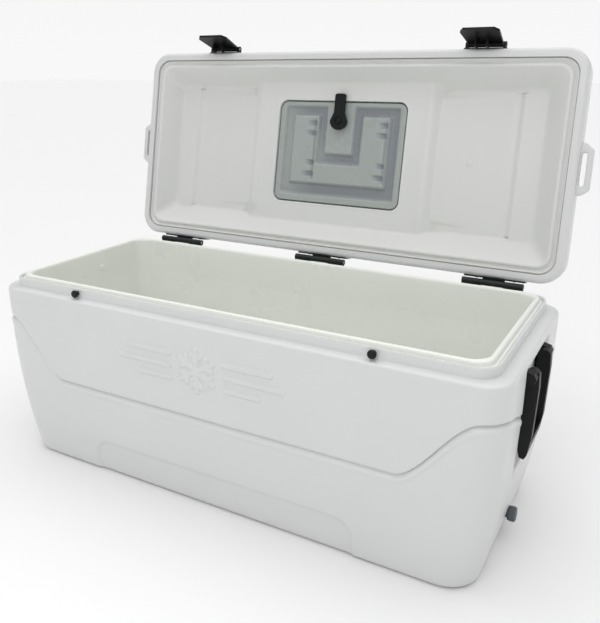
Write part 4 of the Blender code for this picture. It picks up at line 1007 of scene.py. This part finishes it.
def build_fittings():
    """Rounded copies of the hard little parts, each standing for its frame node."""
    bodies = {node: body for body, nodes in frame["record"]["behaviour"]["bodies"].items()
              for node in nodes}
    slots = {row["node"]: row["material_slot"] for row in frame["record"]["subparts"]}
    for node in sorted(slots):
        width = None
        if node.startswith("latch_") and node.endswith(("strap", "bracket", "post")):
            width = 0.9 * MM
        elif node.startswith("handle_") and "screw" not in node:
            width = 2.2 * MM if node.endswith("bail") else 1.2 * MM
        elif node.startswith("hinge_") and node.endswith("leaf"):
            width = 0.6 * MM
        elif node in ("hatch_knob", "drain_cap", "drain_nut"):
            width = 0.8 * MM
        elif node == "hatch_lever":
            width = 1.6 * MM
        if width is None:
            continue
        finish = NODES[node].data.materials[0]
        obj = rounded_copy(node, width, finish)
        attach(obj, bodies[node])


def area_light(name, place, target, size, power):
    """A square soft light aimed at a point."""
    data = bpy.data.lights.new(name, "AREA")
    data.size = size
    data.energy = power
    obj = bpy.data.objects.new(name, data)
    obj.location = place
    obj.rotation_euler = (Vector(target) - Vector(place)).to_track_quat("-Z", "Y").to_euler()
    bpy.context.scene.collection.objects.link(obj)


def build_stage():
    """Floor, world light, one soft light in front and the camera."""
    mat, tree, shader, where = new_material("studio_floor")
    tree.links.new(mottled(tree, where, colours().floor, 0.004, 2), shader.inputs["Base Color"])
    shader.inputs["Roughness"].default_value = 0.9
    half, level = 40.0, -0.6 * MM
    corners = np.array([[-half, -half, level], [half, -half, level], [half, half, level],
                        [-half, half, level]])
    floor = piece("floor", corners, np.array([[0, 1, 2, 3]]), NO_FANS, mat)

    view = bpy.context.scene.view_settings
    view.view_transform = "Standard"
    view.look = "None"
    world = bpy.data.worlds.new("studio")
    bpy.context.scene.world = world
    world.use_nodes = True
    sky = world.node_tree.nodes["Background"]
    # a broad soft source overhead, a dim belt below it and a pale horizon
    way = add(world.node_tree, "ShaderNodeTexCoord").outputs["Generated"]
    rise = add(world.node_tree, "ShaderNodeSeparateXYZ", {"Vector": way}).outputs["Z"]
    ramp = add(world.node_tree, "ShaderNodeValToRGB", {"Fac": rise})
    stops = ((0.0, 0.94), (0.15, 0.92), (0.20, 0.22), (0.45, 0.26), (0.72, 0.95), (1.0, 1.0))
    while len(ramp.color_ramp.elements) < len(stops):
        ramp.color_ramp.elements.new(0.5)
    for element, (place, grey) in zip(ramp.color_ramp.elements, stops):
        element.position = place
        element.color = (grey, grey, grey, 1)
    top = add(world.node_tree, "ShaderNodeMapRange", {"Value": rise, "From Min": 0.5,
                                                      "From Max": 1.0, "To Min": 1.0,
                                                      "To Max": 1.85})
    world.node_tree.links.new(ramp.outputs["Color"], sky.inputs["Color"])
    world.node_tree.links.new(top.outputs["Result"], sky.inputs["Strength"])
    area_light("front", (0.3, -2.8, 2.0), (0, 0.2, 0.6), 1.6, 14)

    build_camera()


def build_camera():
    """The camera, from its turn, tilt and roll: forward, right and up as a turning matrix."""
    yaw, pitch, roll = (math.radians(v) for v in CAMERA_TURN)
    forward = Vector((-math.sin(yaw) * math.cos(pitch), math.cos(yaw) * math.cos(pitch),
                      -math.sin(pitch)))
    right = Vector((math.cos(yaw), math.sin(yaw), 0))
    up = right.cross(forward)
    side = right * math.cos(roll) + up * math.sin(roll)
    top = up * math.cos(roll) - right * math.sin(roll)
    data = bpy.data.cameras.new("camera")
    data.sensor_width = CAMERA_SENSOR
    data.sensor_fit = "AUTO"
    data.lens = CAMERA_LENS
    data.shift_x, data.shift_y = CAMERA_SHIFT
    data.clip_end = 60
    camera = bpy.data.objects.new("camera", data)
    axes = Matrix((side, top, -forward)).transposed()
    camera.matrix_world = Matrix.Translation(CAMERA_AT) @ axes.to_4x4()
    bpy.context.scene.collection.objects.link(camera)
    bpy.context.scene.camera = camera


STEPS = (COOLER_OT_stage, COOLER_OT_finishes, COOLER_OT_tub, COOLER_OT_lid, COOLER_OT_hatch,
         COOLER_OT_fittings)
CLASSES = (CoolerColours, CoolerSizes) + STEPS + (COOLER_PT_panel,)


def register():
    """Register the classes and hang the settings on the scene."""
    for cls in CLASSES:
        bpy.utils.register_class(cls)
    bpy.types.Scene.cooler_sizes = bpy.props.PointerProperty(type=CoolerSizes)
    bpy.types.Scene.cooler_colours = bpy.props.PointerProperty(type=CoolerColours)


def unregister():
    """Take the settings and classes away again."""
    del bpy.types.Scene.cooler_colours
    del bpy.types.Scene.cooler_sizes
    for cls in reversed(CLASSES):
        bpy.utils.unregister_class(cls)


def main():
    """Build everything in order."""
    register()
    bpy.ops.cooler.stage()
    bpy.ops.cooler.finishes()
    bpy.ops.cooler.tub()
    bpy.ops.cooler.lid()
    bpy.ops.cooler.hatch()
    bpy.ops.cooler.fittings()


if __name__ == "__main__":
    main()
